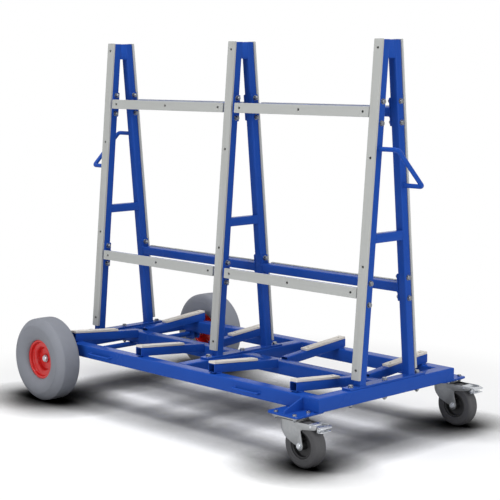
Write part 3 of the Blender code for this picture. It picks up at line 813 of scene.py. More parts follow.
@dataclass
class NodeTool:
    """A geometry node tree of this file, with named inputs for its sizes."""

    name: str
    sockets: ClassVar[dict[str, str]] = {}

    def tree(self) -> Tree:
        """Give the tree, built at its first use.

        Returns:
            The node tree.
        """
        known = bpy.data.node_groups.get(self.name)
        if known:
            return known
        made = bpy.data.node_groups.new(self.name, "GeometryNodeTree")
        for way in ("INPUT", "OUTPUT"):
            made.interface.new_socket("Geometry", in_out=way, socket_type="NodeSocketGeometry")
        for label, kind in self.sockets.items():
            made.interface.new_socket(label, in_out="INPUT", socket_type=f"NodeSocket{kind}")
        self.wire(made)
        return made

    def wire(self, tree: Tree) -> None:
        """Add the tree's own nodes."""
        raise NotImplementedError

    def finish(self, tree: Tree, geometry: Socket, material: Socket) -> None:
        """End the tree with real geometry in its material.

        Args:
            tree: The node tree.
            geometry: The instances or the mesh that it made.
            material: The material that they get.
        """
        real = add(tree, "GeometryNodeRealizeInstances", {"Geometry": geometry})
        dressed = add(tree, "GeometryNodeSetMaterial", {
            "Geometry": real.outputs["Geometry"], "Material": material})
        add(tree, "NodeGroupOutput", {"Geometry": dressed.outputs["Geometry"]})

    def run(self, host: bpy.types.Object, **values: object) -> None:
        """Run the tree on an object and keep the result as its mesh.

        Args:
            host: The object whose points or edges the tree reads.
            values: The tree's inputs by name, with _ for a blank.
        """
        modifier = host.modifiers.new(self.name, "NODES")
        modifier.node_group = self.tree()
        for item in modifier.node_group.interface.items_tree:
            key = item.name.lower().replace(" ", "_")
            if item.in_out == "INPUT" and key in values:
                modifier[item.identifier] = values[key]
        settle(host)


@dataclass
class FastenerTool(NodeTool):
    """Puts one fastener on every point, facing outwards and turned at random."""

    name: str = "fasteners"
    sockets: ClassVar[dict[str, str]] = {
        "Fastener": "Object", "Seed": "Int", "Size": "Float", "Finish": "Material"}

    def wire(self, tree: Tree) -> None:
        """Instance the fastener on the points.

        Args:
            tree: The empty node tree.
        """
        given = add(tree, "NodeGroupInput")
        source = add(tree, "GeometryNodeObjectInfo", {"Object": given.outputs["Fastener"]})
        outward = add(tree, "GeometryNodeInputNamedAttribute", {"Name": "outward"},
                      data_type="FLOAT_VECTOR")
        facing = add(tree, "FunctionNodeAlignRotationToVector", {
            "Vector": outward.outputs["Attribute"]}, axis="Z")
        chance = add(tree, "FunctionNodeRandomValue", {
            "Seed": given.outputs["Seed"]}, data_type="FLOAT")
        angle = maths(tree, "MULTIPLY", chance.outputs[1], 2 * pi)
        spin = add(tree, "FunctionNodeAxisAngleToRotation", {
            "Axis": (0.0, 0.0, 1.0), "Angle": angle})
        turning = add(tree, "FunctionNodeRotateRotation", {
            "Rotation": facing.outputs["Rotation"], "Rotate By": spin.outputs["Rotation"]},
            rotation_space="LOCAL")
        placed = add(tree, "GeometryNodeInstanceOnPoints", {
            "Points": given.outputs["Geometry"], "Instance": source.outputs["Geometry"],
            "Rotation": turning.outputs["Rotation"], "Scale": given.outputs["Size"]})
        self.finish(tree, placed.outputs["Instances"], given.outputs["Finish"])


@dataclass
class WeldTool(NodeTool):
    """Lays a rippled weld bead along every edge line of the host."""

    name: str = "weld_bead"
    sockets: ClassVar[dict[str, str]] = {
        "Bead Radius": "Float", "Ripple": "Float", "Ripple Share": "Float", "Finish": "Material"}

    def wire(self, tree: Tree) -> None:
        """Sweep a small ring whose radius swells with each ripple.

        Args:
            tree: The empty node tree.
        """
        given = add(tree, "NodeGroupInput")
        line = add(tree, "GeometryNodeMeshToCurve", {"Mesh": given.outputs["Geometry"]})
        quarter = maths(tree, "DIVIDE", given.outputs["Ripple"], 4.0)
        even = add(tree, "GeometryNodeResampleCurve", {
            "Curve": line.outputs["Curve"], "Length": quarter}, mode="LENGTH")
        run = add(tree, "GeometryNodeSplineParameter").outputs["Length"]
        count = maths(tree, "DIVIDE", run, given.outputs["Ripple"])
        wave = maths(tree, "SINE", maths(tree, "MULTIPLY", count, 2 * pi))
        swell = maths(tree, "MULTIPLY_ADD", wave, given.outputs["Ripple Share"], 1.0)
        shaped = add(tree, "GeometryNodeSetCurveRadius", {
            "Curve": even.outputs["Curve"], "Radius": swell})
        section = add(tree, "GeometryNodeCurvePrimitiveCircle", {
            "Resolution": 8, "Radius": given.outputs["Bead Radius"]})
        bead = add(tree, "GeometryNodeCurveToMesh", {
            "Curve": shaped.outputs["Curve"], "Profile Curve": section.outputs["Curve"],
            "Scale": swell, "Fill Caps": True})
        smooth = add(tree, "GeometryNodeSetShadeSmooth", {"Geometry": bead.outputs["Mesh"]})
        self.finish(tree, smooth.outputs["Geometry"], given.outputs["Finish"])


def hexagon_radius(angle: float, across: float) -> float:
    """Radius of a hexagon of a given size across its flats at an angle."""
    return across / 2 / cos((angle + pi / 6) % (pi / 3) - pi / 6)


def hexagon(across: float, low: float, high: float, steps: int = 36) -> Shape:
    """Hexagonal head or nut with the curved chamfer of a turned blank.

    Args:
        across: Size across the flats.
        low: Height of its seat.
        high: Height of its top.
        steps: Steps round it.

    Returns:
        The head's shape.
    """
    face = across * HEAD_FACE
    rings: list[Ring] = [[], [], []]
    for angle in around(steps):
        way = Vector((cos(angle), sin(angle), 0))
        wide = hexagon_radius(angle, across)
        chamfer = (wide - face) * tan(pi / 6)
        rings[0].append(way * wide + UP * low)
        rings[1].append(way * wide + UP * (high - chamfer))
        rings[2].append(way * face + UP * high)
    return skin(rings)


def washer(inner: float, outer: float, thickness: float, rounding: float = 0.0004) -> Shape:
    """Flat washer that lies on the seat plane, its edges soft."""
    profile = softened(
        ((inner, 0), (outer, 0), (outer, thickness), (inner, thickness)), rounding, True, 2)
    return turned(profile, 32)


def thread_end(radius: float, low: float, high: float, pitch: float = 0.0015) -> Shape:
    """End of a bolt, with the rings of its thread and a chamfer.

    Args:
        radius: The bolt's radius.
        low: Height where the thread starts.
        high: Height of the bolt's end.
        pitch: Distance between two rings.

    Returns:
        The end's shape.
    """
    profile = [Vector((radius, low, 0))]
    height = low + pitch
    while height < high - pitch:
        profile.append(Vector((radius, height - pitch / 4, 0)))
        profile.append(Vector((radius * THREAD_ROOT, height + pitch / 4, 0)))
        height += pitch
    profile += [Vector((radius, high - pitch / 2, 0)), Vector((radius * THREAD_TIP, high, 0))]
    return turned(profile, 20, loop=False)


def socket_head(rim: float, top: float, floor: float, key: float, steps: int = 30) -> Shape:
    """Round screw head with an eased rim and a hexagon socket.

    Args:
        rim: Radius of the head.
        top: Height of its top.
        floor: Height of the socket's floor.
        key: Size of the socket across its flats.
        steps: Steps round it.

    Returns:
        The head's shape.
    """
    ways = [(angle, Vector((cos(angle), sin(angle), 0))) for angle in around(steps)]
    inward, upward = HEAD_EASE
    rings = []
    for radius, height in ((rim, 0.0), (rim, top * upward), (rim * inward, top)):
        rings.append([way * radius + UP * height for _, way in ways])
    for height in (top, floor):
        rings.append([way * hexagon_radius(angle, key) + UP * height for angle, way in ways])
    return skin(rings)


@dataclass(frozen=True)
class ThreadSize:
    """Sizes of a bolt, its nut and their washer, with heights from the seat."""

    radius: float
    across: float
    washer: tuple[float, float, float]
    head_top: float
    nut_top: float
    thread: tuple[float, float, float]


M12 = ThreadSize(0.006, 0.019, (0.0064, 0.012, 0.0025), 0.010, 0.0125, (0.010, 0.0175, 0.00175))
M10 = ThreadSize(0.005, 0.016, (0.0054, 0.0095, 0.0016), 0.007, 0.008, (0.007, 0.012, 0.0015))


class Fastener(Enum):
    """The kinds of fastener on the trolley, named for what they are."""

    BOLT_HEAD = "bolt_head"
    NUT = "nut"
    SOCKET_SCREW = "socket_screw"
    SMALL_BOLT = "small_bolt"
    SMALL_NUT = "small_nut"

    def shape(self) -> Shape:
        """Build the fastener about the origin, standing up from its seat.

        Returns:
            The fastener's shape.
        """
        if self is Fastener.BOLT_HEAD:
            return joined([washer(*M12.washer), hexagon(M12.across, M12.washer[2], M12.head_top)])
        if self is Fastener.NUT:
            return joined([washer(*M12.washer), hexagon(M12.across, M12.washer[2], M12.nut_top),
                           thread_end(M12.radius, *M12.thread)])
        if self is Fastener.SMALL_BOLT:
            return joined([washer(*M10.washer), hexagon(M10.across, M10.washer[2], M10.head_top)])
        if self is Fastener.SMALL_NUT:
            return joined([hexagon(M10.across, 0.0, M10.nut_top),
                           thread_end(M10.radius, *M10.thread)])
        return socket_head(rim=0.0048, top=0.0018, floor=0.0004, key=0.0052)


@dataclass
class FastenerKit:
    """Collects where each kind of fastener sits on the chassis, then makes them."""

    places: dict[Fastener, list[tuple[Vector, Vector]]] = field(default_factory=dict)
    sharp_angle: float = radians(25)

    def add(self, kind: Fastener, place: Sequence[float], outward: Vector) -> None:
        """Note one fastener by its seat and the way that it faces."""
        self.places.setdefault(kind, []).append((Vector(place), outward.normalized()))

    def make(self) -> None:
        """Make one piece for each kind."""
        for seed, (kind, spots) in enumerate(self.places.items()):
            finish = OXIDE if kind is Fastener.SOCKET_SCREW else FASTENER_ZINC_PAINTED_DARKER
            source = scene_object("fastener_source", kind.shape())
            host = linked(f"{kind.value}s_chassis", bpy.data.meshes.new(kind.value))
            host.data.from_pydata([place for place, _ in spots], [], [])
            outward = host.data.attributes.new("outward", "FLOAT_VECTOR", "POINT")
            for item, (_, way) in zip(outward.data, spots):
                item.vector = way
            FastenerTool().run(host, fastener=source, seed=seed, size=1.0,
                               finish=finish.material())
            bpy.data.objects.remove(source)
            host.data.shade_smooth()
            host.data.set_sharp_from_angle(angle=self.sharp_angle)
            hand_over(host, finish, "chassis")


@dataclass
class WeldKit:
    """Collects the seams that were welded, then lays their beads."""

    bead_radius: float = 0.0026
    ripple: float = 0.0035
    ripple_share: float = 0.12
    ring_steps: int = 24
    seams: dict[str, list[Ring]] = field(default_factory=dict)

    def add(self, name: str, *corners: Sequence[float]) -> None:
        """Note one seam of an assembly as a line through corners."""
        self.seams.setdefault(name, []).append([Vector(corner) for corner in corners])

    def ring(self, name: str, place: Vector, axis: Vector, radius: float) -> None:
        """Note a round seam about an axis.

        Args:
            name: The assembly that it belongs to.
            place: Middle of the seam.
            axis: Direction of the axis.
            radius: Radius of the seam.
        """
        first = axis.orthogonal().normalized()
        second = axis.cross(first).normalized()
        line = []
        for step in range(self.ring_steps + 1):
            angle = 2 * pi * step / self.ring_steps
            line.append(place + (first * cos(angle) + second * sin(angle)) * radius)
        self.add(name, *line)

    def make(self) -> None:
        """Lay the beads of each assembly as one piece."""
        for name, lines in self.seams.items():
            points: list[Vector] = []
            edges = []
            for line in lines:
                edges += [(len(points) + i, len(points) + i + 1) for i in range(len(line) - 1)]
                points += line
            host = linked(f"welds_{name}", bpy.data.meshes.new("welds"))
            host.data.from_pydata(points, edges, [])
            WeldTool().run(host, bead_radius=self.bead_radius, ripple=self.ripple,
                           ripple_share=self.ripple_share, finish=BLUE.material())
            hand_over(host, BLUE, "chassis")


# Sub-assemblies


@dataclass(frozen=True)
class Layout:
    """Sizes that several sub-assemblies share."""

    pitch: float = 0.880
    top: float = 1.723
    lean: float = radians(5)
    half_spread: float = 0.066
    leg: float = 0.040
    tube_rounding: float = 0.005
    strip_width: float = 0.045
    strip_depth: float = 0.012
    gap: float = 0.0003
    half_width: float = 0.440
    base_tube: float = 0.060
    rail_bottom: float = 0.215
    foot_plate: float = 0.008
    plate_thickness: float = 0.008

    def face(self, height: float) -> float:
        """Distance of the slab face from the middle plane at a height."""
        return self.half_spread + (self.top - height) * tan(self.lean)

    def leg_line(self, height: float) -> float:
        """Distance of a leg's middle line from the middle plane at a height."""
        inward = (self.strip_depth + self.gap + self.leg / 2) / cos(self.lean)
        return self.face(height) - inward

    def on_face(self, side: int) -> Matrix:
        """Frame on a slab face: X along, Y outwards and Z up the face."""
        shift = at(0, side * self.half_spread, self.top)
        return shift @ turn(side * self.lean, "X")

    def run(self, height: float) -> float:
        """Distance down the slab face to a height."""
        return (self.top - height) / cos(self.lean)

    def base_top(self) -> float:
        """Height of the base's top face."""
        return self.rail_bottom + self.base_tube

    def arm_line(self, reach: float) -> float:
        """Height of an arm's middle line at a distance from the middle plane."""
        rise = tan(self.lean) * (reach - self.half_width + self.base_tube)
        return self.base_top() + self.gap + rise + self.leg / cos(self.lean) / 2

    def foot_top(self) -> float:
        """Height of the foot plates' top face."""
        return self.base_top() + self.gap + self.foot_plate


@dataclass
class BaseFrame:
    """Welded ladder with caster plates, axle brackets and lashing bars."""

    layout: Layout
    bolts: FastenerKit
    welds: WeldKit
    rounding: float = 0.006
    sunk: float = 0.001
    rail_weld_inset: float = 0.008
    cross_weld_inset: float = 0.004
    corner_weld_inset: float = 0.006
    plate_length: float = 0.176
    plate_shift: float = -0.007
    plate_margin: float = 0.055
    plate_overlap: float = 0.005
    plate_corner: float = 0.016
    plate_edge: float = 0.001
    plate_weld_inset: float = 0.012
    swivel: tuple[float, float] = (0.814, 0.496)
    caster_bolts: tuple[float, float] = (0.0525, 0.040)
    caster_plate_stack: float = 0.0053
    axle_x: float = -0.815
    axle_height: float = 0.200
    axle_radius: float = 0.0125
    bracket: tuple[float, float] = (0.070, 0.008)
    bracket_spacing: float = 0.036
    bracket_edge: float = 0.014
    bracket_corner: float = 0.013
    bracket_weld: float = 0.025
    lashing_places: tuple[float, float] = (-0.5148, 0.49016)
    lashing_length: float = 0.150
    lashing_radius: float = 0.005
    lashing_reach: float = 0.018
    lashing_drop: float = 0.033
    lashing_bend: float = 0.012
    foot_bolts: tuple[float, ...] = (-0.216, 0.0, 0.216)
    web_thickness: float = 0.008
    web_heights: tuple[float, float] = (0.056, 0.015)
    web_shift: float = 0.006
    web_setback: float = 0.003
    web_weld_inset: float = 0.004

    def ladder(self) -> Shape:
        """Mitred outer tubes, the middle rail and the spine.

        Returns:
            The ladder's shape, with the outer tubes as one closed loop.
        """
        size = (self.layout.base_tube, self.layout.base_tube)
        half = self.layout.base_tube / 2
        height = self.layout.rail_bottom + half
        long = self.layout.pitch
        wide = self.layout.half_width - half
        section = ring_of_box(*size, self.rounding)
        corners = []
        for x_sign, y_sign in ((1, 1), (-1, 1), (-1, -1), (1, -1)):
            corners.append([Vector((x_sign * (long + point.x), y_sign * (wide + point.x),
                                    height + point.y)) for point in section])
        tubes = [skin(corners, loop=True)]
        lines = [((sign * half, 0), (sign * (long - half), 0), ACROSS) for sign in (-1, 1)]
        lines.append(((0, half - wide), (0, wide - half), ALONG))
        for start, end, across in lines:
            tubes.append(tube(Vector((*start, height)), Vector((*end, height)), across, size,
                              self.rounding))
        return joined(tubes)

    def upright_weld(self, x: float, y: float, inset: float) -> None:
        """Bead up an inner corner, which stops short at both ends."""
        self.welds.add("base", (x, y, self.layout.rail_bottom + inset),
                       (x, y, self.layout.base_top() - inset))

    def ladder_welds(self) -> None:
        """Beads where the inner members meet the rails."""
        half = self.layout.base_tube / 2
        long = self.layout.pitch - half
        wide = self.layout.half_width - self.layout.base_tube
        for sign in (-1, 1):
            for edge in (-1, 1):
                self.upright_weld(edge * half, sign * wide, self.rail_weld_inset)
                self.upright_weld(sign * long, edge * half, self.rail_weld_inset)
                self.upright_weld(sign * half, edge * half, self.cross_weld_inset)
            for corner in (-1, 1):
                self.upright_weld(sign * long, corner * wide, self.corner_weld_inset)

    def caster_plate(self, side: int) -> Shape:
        """Plate under a front corner, with its bolts and weld.

        Args:
            side: -1 on the right, 1 on the left.

        Returns:
            The plate's shape.
        """
        inner = self.layout.half_width - self.layout.base_tube + self.plate_overlap
        outer = self.swivel[1] + self.plate_margin
        thickness = self.layout.plate_thickness
        top = self.layout.rail_bottom
        shape = plate((self.plate_length, outer - inner, thickness), self.plate_corner,
                      self.plate_edge)
        centre = self.swivel[0] + self.plate_shift
        place = at(centre, side * (outer + inner) / 2, top - thickness / 2)
        low = top - thickness - self.caster_plate_stack
        for x_sign in (-1, 1):
            for y_sign in (-1, 1):
                x = self.swivel[0] + x_sign * self.caster_bolts[0]
                y = side * self.swivel[1] + y_sign * self.caster_bolts[1]
                self.bolts.add(Fastener.SMALL_BOLT, (x, y, top), UP)
                self.bolts.add(Fastener.SMALL_NUT, (x, y, low), -UP)
        half = self.plate_length / 2 - self.plate_weld_inset
        seam = side * self.layout.half_width
        self.welds.add("base", (centre - half, seam, top), (centre + half, seam, top))
        return moved(shape, place)

    def caster_web(self, side: int) -> Shape:
        """Upright web that stiffens a caster plate, welded to the rail's face.

        Args:
            side: -1 on the right, 1 on the left.

        Returns:
            The web's shape.
        """
        x = self.swivel[0] + self.web_shift
        face = side * self.layout.half_width
        root = side * (self.layout.half_width - self.sunk)
        tip = side * (self.swivel[1] + self.plate_margin - self.web_setback)
        low = self.layout.rail_bottom
        tall, short = (low + height for height in self.web_heights)
        outline = [Vector((y, z, 0)) for y, z in (
            (root, low - self.sunk), (tip, low - self.sunk), (tip, short), (root, tall))]
        for edge in (-1, 1):
            beside = x + edge * self.web_thickness / 2
            self.welds.add("base", (beside, face, tall - self.web_weld_inset),
                           (beside, face, low), (beside, tip, low))
        return moved(extruded(outline, self.web_thickness), turn(pi / 2, "X"),
                     turn(pi / 2, "Z"), at(x, 0, 0))

    def axle_bracket(self, side: int, offset: float) -> Shape:
        """Plate under a side rail that holds the axle.

        Args:
            side: -1 on the right, 1 on the left.
            offset: Distance outwards from the rail's middle line.

        Returns:
            The plate's shape.
        """
        bottom = self.axle_height - self.axle_radius - self.bracket_edge
        top = self.layout.rail_bottom
        height = top - bottom
        middle = side * (self.layout.half_width - self.layout.base_tube / 2 + offset)
        body = moved(plate((self.bracket[0], height, self.bracket[1]), self.bracket_corner),
                     turn(pi / 2, "X"), at(self.axle_x, middle, bottom + height / 2))
        bore = cylinder(self.axle_radius + self.layout.gap, -self.bracket[1], self.bracket[1],
                        BORE_STEPS)
        for edge in (-1, 1):
            beside = middle + edge * self.bracket[1] / 2
            self.welds.add("base", *((self.axle_x + end * self.bracket_weld, beside, top)
                                     for end in (-1, 1)))
        return combined(body, [moved(bore, turn(pi / 2, "X"),
                                     at(self.axle_x, middle, self.axle_height))], "DIFFERENCE")

    def lashing_bar(self, side: int, x: float) -> Shape:
        """Bent round bar on a side rail for the lashing straps.

        Args:
            side: -1 on the right, 1 on the left.
            x: Where its middle is along the rail.

        Returns:
            The bar's shape.
        """
        half = self.lashing_length / 2
        height = self.layout.base_top() - self.lashing_drop
        root = side * (self.layout.half_width - self.sunk)
        reach = side * (self.layout.half_width + self.lashing_reach)
        path = softened((
            (x - half, root, height), (x - half, reach, height),
            (x + half, reach, height), (x + half, root, height)), self.lashing_bend, steps=8)
        for sign in (-1, 1):
            place = Vector((x + sign * half, side * self.layout.half_width, height))
            self.welds.ring("base", place, ACROSS, self.lashing_radius)
        return rod(path, self.lashing_radius)

    def foot_fasteners(self) -> None:
        """Bolts through the foot plates, with nuts under the rails."""
        for place in FRAMES.values():
            for y in self.foot_bolts:
                x = place * self.layout.pitch
                self.bolts.add(Fastener.BOLT_HEAD, (x, y, self.layout.foot_top()), UP)
                self.bolts.add(Fastener.NUT, (x, y, self.layout.rail_bottom), -UP)

    def build(self) -> None:
        """Make the base."""
        shapes = [self.ladder()]
        self.ladder_welds()
        for side in SIDES.values():
            shapes += [self.caster_plate(side), self.caster_web(side)]
            for offset in (-self.bracket_spacing / 2, self.bracket_spacing / 2):
                shapes.append(self.axle_bracket(side, offset))
            for x in self.lashing_places:
                shapes.append(self.lashing_bar(side, x))
        self.foot_fasteners()
        deliver("base_ladder", joined(shapes), BLUE, "chassis", "base_frame")


@dataclass
class SupportArms:
    """Sloping arms on the base, each with its screwed pad."""

    layout: Layout
    bolts: FastenerKit
    welds: WeldKit
    places: tuple[float, ...] = (-0.74976, -0.24992, 0.24992, 0.74976)
    wall: float = 0.003
    setback: float = 0.016
    pad_length: float = 0.266
    pad_depth: float = 0.010
    pad_rounding: float = 0.0025
    pad_edge: float = 0.0008
    recess: tuple[float, float] = (0.006, 0.0042)
    screw_inset: float = 0.030
    weld_start: float = 0.002
    weld_stop: float = 0.012
    weld_lift: float = 0.0005
    weld_rise: float = 0.03

    def arm(self, side: int, x: float) -> Shape:
        """Open square tube that slopes up towards its outer end.

        Args:
            side: -1 on the right, 1 on the left.
            x: Where it is along the base.

        Returns:
            The tube's shape.
        """
        layout = self.layout
        reaches = (layout.base_tube / 2 + layout.gap, layout.half_width - self.setback)
        start, end = (Vector((x, side * reach, layout.arm_line(reach))) for reach in reaches)
        return tube(start, end, ALONG, (layout.leg, layout.leg), layout.tube_rounding,
                    (ACROSS, ACROSS), self.wall)

    def pad(self, side: int, x: float) -> Shape:
        """Pad on an arm, with recesses for its screws.

        Args:
            side: -1 on the right, 1 on the left.
            x: Where it is along the base.

        Returns:
            The pad's shape.
        """
        layout = self.layout
        middle = layout.half_width - self.setback - self.pad_length / 2
        lift = layout.gap + (layout.leg + self.pad_depth) / cos(layout.lean) / 2
        lean = turn(side * layout.lean, "X")
        spot = at(x, side * middle, layout.arm_line(middle) + lift)
        body = plate((layout.leg, self.pad_length / cos(layout.lean), self.pad_depth),
                     self.pad_rounding, self.pad_edge)
        floor = self.pad_depth / 2 - self.recess[1]
        holes = []
        for end in (-1, 1):
            along = end * (self.pad_length / 2 - self.screw_inset)
            holes.append(moved(cylinder(self.recess[0], floor, self.pad_depth, HOLE_STEPS),
                               at(0, along, 0)))
            self.bolts.add(Fastener.SOCKET_SCREW,
                           spot @ lean @ Vector((0, along, floor)), lean @ UP)
        return moved(combined(body, holes, "DIFFERENCE"), lean, spot)

    def arm_welds(self, side: int, x: float) -> None:
        """Beads on both sides of an arm where it lies on the rail.

        Args:
            side: -1 on the right, 1 on the left.
            x: Where the arm is along the base.
        """
        layout = self.layout
        start = layout.half_width - layout.base_tube + self.weld_start
        end = layout.half_width - self.setback - self.weld_stop
        low = layout.base_top() + self.weld_lift
        high = low + tan(layout.lean) * self.weld_rise
        for edge in (-1, 1):
            beside = x + edge * layout.leg / 2
            self.welds.add("arms", (beside, side * start, low), (beside, side * end, high))

    def build(self) -> None:
        """Make the arms and their pads."""
        for side_name, side in SIDES.items():
            for number, x in enumerate(self.places, 1):
                name = f"{side_name}_{number}"
                deliver(f"arm_tube_{name}", self.arm(side, x), BLUE, "chassis",
                        f"support_arm_{name}")
                deliver(f"pad_{name}", self.pad(side, x), PAD_STRIP_PAINTED_PALER, "chassis",
                        f"arm_pad_{name}")
                self.arm_welds(side, x)


@dataclass
class StripCutter:
    """Cuts wear strips to length and notes the screws in their recesses."""

    layout: Layout
    bolts: FastenerKit
    rounding: float = 0.003
    edge: float = 0.001
    recess: tuple[float, float] = (0.0062, 0.005)

    def cut(self, side: int, size: tuple[float, float], spot: tuple[float, float],
            drop: float, screws: Sequence[tuple[float, float]]) -> Shape:
        """Strip on a slab face, with recesses for its screws.

        Args:
            side: -1 on the right, 1 on the left.
            size: Its sizes along the trolley and up the face.
            spot: Its place along the trolley and up the face from the top.
            drop: How far its middle hangs below that place.
            screws: Places of the screws, counted from that place.

        Returns:
            The strip's shape.
        """
        on_face = self.layout.on_face(side)
        depth = self.layout.strip_depth
        floor = depth / 2 - self.recess[1]
        x, z = spot
        body = moved(plate((*size, depth), self.rounding, self.edge), turn(pi / 2, "X"),
                     at(0, 0, -drop))
        holes = []
        for along, up in screws:
            holes.append(moved(cylinder(self.recess[0], floor, depth, HOLE_STEPS),
                               turn(-side * pi / 2, "X"), at(along, 0, up)))
            place = Vector((x + along, side * (floor - depth / 2), z + up))
            self.bolts.add(Fastener.SOCKET_SCREW, on_face @ place,
                           on_face.to_3x3() @ (ACROSS * side))
        body = combined(body, holes, "DIFFERENCE")
        return moved(body, at(x, -side * depth / 2, z), on_face)


@dataclass
class AFrames:
    """Three welded A-frames with their wear strips."""

    layout: Layout
    strips: StripCutter
    welds: WeldKit
    cap_height: float = 0.074
    cap_drop: float = 0.005
    cap_recess: float = 0.002
    cap_rounding: float = 0.001
    cap_edge: float = 0.0015
    cap_weld_inset: float = 0.006
    bar_tube: float = 0.040
    bar_height: float = 0.897
    bar_weld_inset: float = 0.005
    bar_weld_end: float = 0.004
    bar_weld_back: float = 0.002
    foot_width: float = 0.050
    foot_overhang: float = 0.065
    foot_rounding: float = 0.003
    foot_weld_round: float = 0.006
    top_drop: float = 0.003
    strip_clearance: float = 0.0257
    screw_heights: tuple[float, ...] = (1.686, 1.234, 0.783, 0.350)

    def frame_shape(self) -> Shape:
        """Legs, cap, cross bar and foot plate of one A-frame.

        Returns:
            The frame's shape.
        """
        layout = self.layout
        low, high = layout.foot_top(), layout.top - self.top_drop
        shapes = []
        for side in SIDES.values():
            start = Vector((0, side * layout.leg_line(low), low))
            end = Vector((0, side * layout.leg_line(high), high))
            shapes.append(tube(start, end, ALONG, (layout.leg, layout.leg), layout.tube_rounding,
                               (UP, UP)))
        cap_top = layout.top - self.cap_drop
        cap_half = layout.leg_line(cap_top)
        shapes.append(moved(
            plate((2 * cap_half, self.cap_height, layout.leg - 2 * self.cap_recess),
                  self.cap_rounding, self.cap_edge),
            turn(pi / 2, "X"), turn(pi / 2, "Z"), at(0, 0, cap_top - self.cap_height / 2)))
        bar_half = layout.leg_line(self.bar_height)
        shapes.append(tube(
            Vector((0, -bar_half, self.bar_height)), Vector((0, bar_half, self.bar_height)),
            ALONG, (self.bar_tube - self.cap_recess, self.bar_tube), layout.tube_rounding))
        foot_half = layout.leg_line(low) + layout.leg / 2 + self.foot_overhang
        shapes.append(moved(
            plate((self.foot_width, 2 * foot_half, layout.foot_plate), self.foot_rounding),
            at(0, 0, low - layout.foot_plate / 2)))
        return joined(shapes)

    def level_weld(self, x: float, y: float, height: float, half: float) -> None:
        """Level bead along X, to a distance on both sides of its middle."""
        self.welds.add("frames", (x - half, y, height), (x + half, y, height))

    def frame_welds(self, x: float) -> None:
        """Beads at the feet, the cross bar and the cap of one frame.

        Args:
            x: Where the frame stands.
        """
        layout = self.layout
        half = layout.leg / 2
        foot = layout.foot_top()
        bar_low = self.bar_height - self.bar_tube / 2
        bar_high = self.bar_height + self.bar_tube / 2
        cap_low = layout.top - self.cap_drop - self.cap_height
        for side in SIDES.values():
            near = side * (layout.leg_line(foot) - half)
            far = side * (layout.leg_line(foot) + half)
            corners = [(x - half, near), (x + half, near), (x + half, far), (x - half, far),
                       (x - half, near)]
            ring = softened([(a, b, foot) for a, b in corners], self.foot_weld_round)
            self.welds.add("frames", *ring)
            for height in (bar_low, bar_high):
                y = side * (layout.leg_line(height) - half / cos(layout.lean))
                self.level_weld(x, y, height, half - self.bar_weld_inset)
            for edge in (-1, 1):
                line = []
                for height in (bar_low + self.bar_weld_end, bar_high - self.bar_weld_end):
                    y = side * (layout.leg_line(height) - half / cos(layout.lean))
                    line.append((x + edge * (half - self.bar_weld_back), y, height))
                self.welds.add("frames", *line)
            y = side * (layout.leg_line(cap_low) - half / cos(layout.lean))
            self.level_weld(x, y, cap_low, half - self.cap_weld_inset)

    def build(self) -> None:
        """Make the three frames and their strips."""
        length = self.layout.run(self.layout.foot_top() + self.strip_clearance)
        screws = [(0.0, -self.layout.run(height)) for height in self.screw_heights]
        for name, place in FRAMES.items():
            x = place * self.layout.pitch
            deliver(f"frame_tubes_{name}", moved(self.frame_shape(), at(x, 0, 0)), BLUE,
                    "chassis", f"a_frame_{name}")
            self.frame_welds(x)
            for side_name, side in SIDES.items():
                strip = self.strips.cut(side, (self.layout.strip_width, length), (x, 0.0),
                                        length / 2, screws)
                deliver(f"strip_{side_name}_{name}", strip, STRIP_UPRIGHT, "chassis",
                        f"leg_strip_{side_name}_{name}")


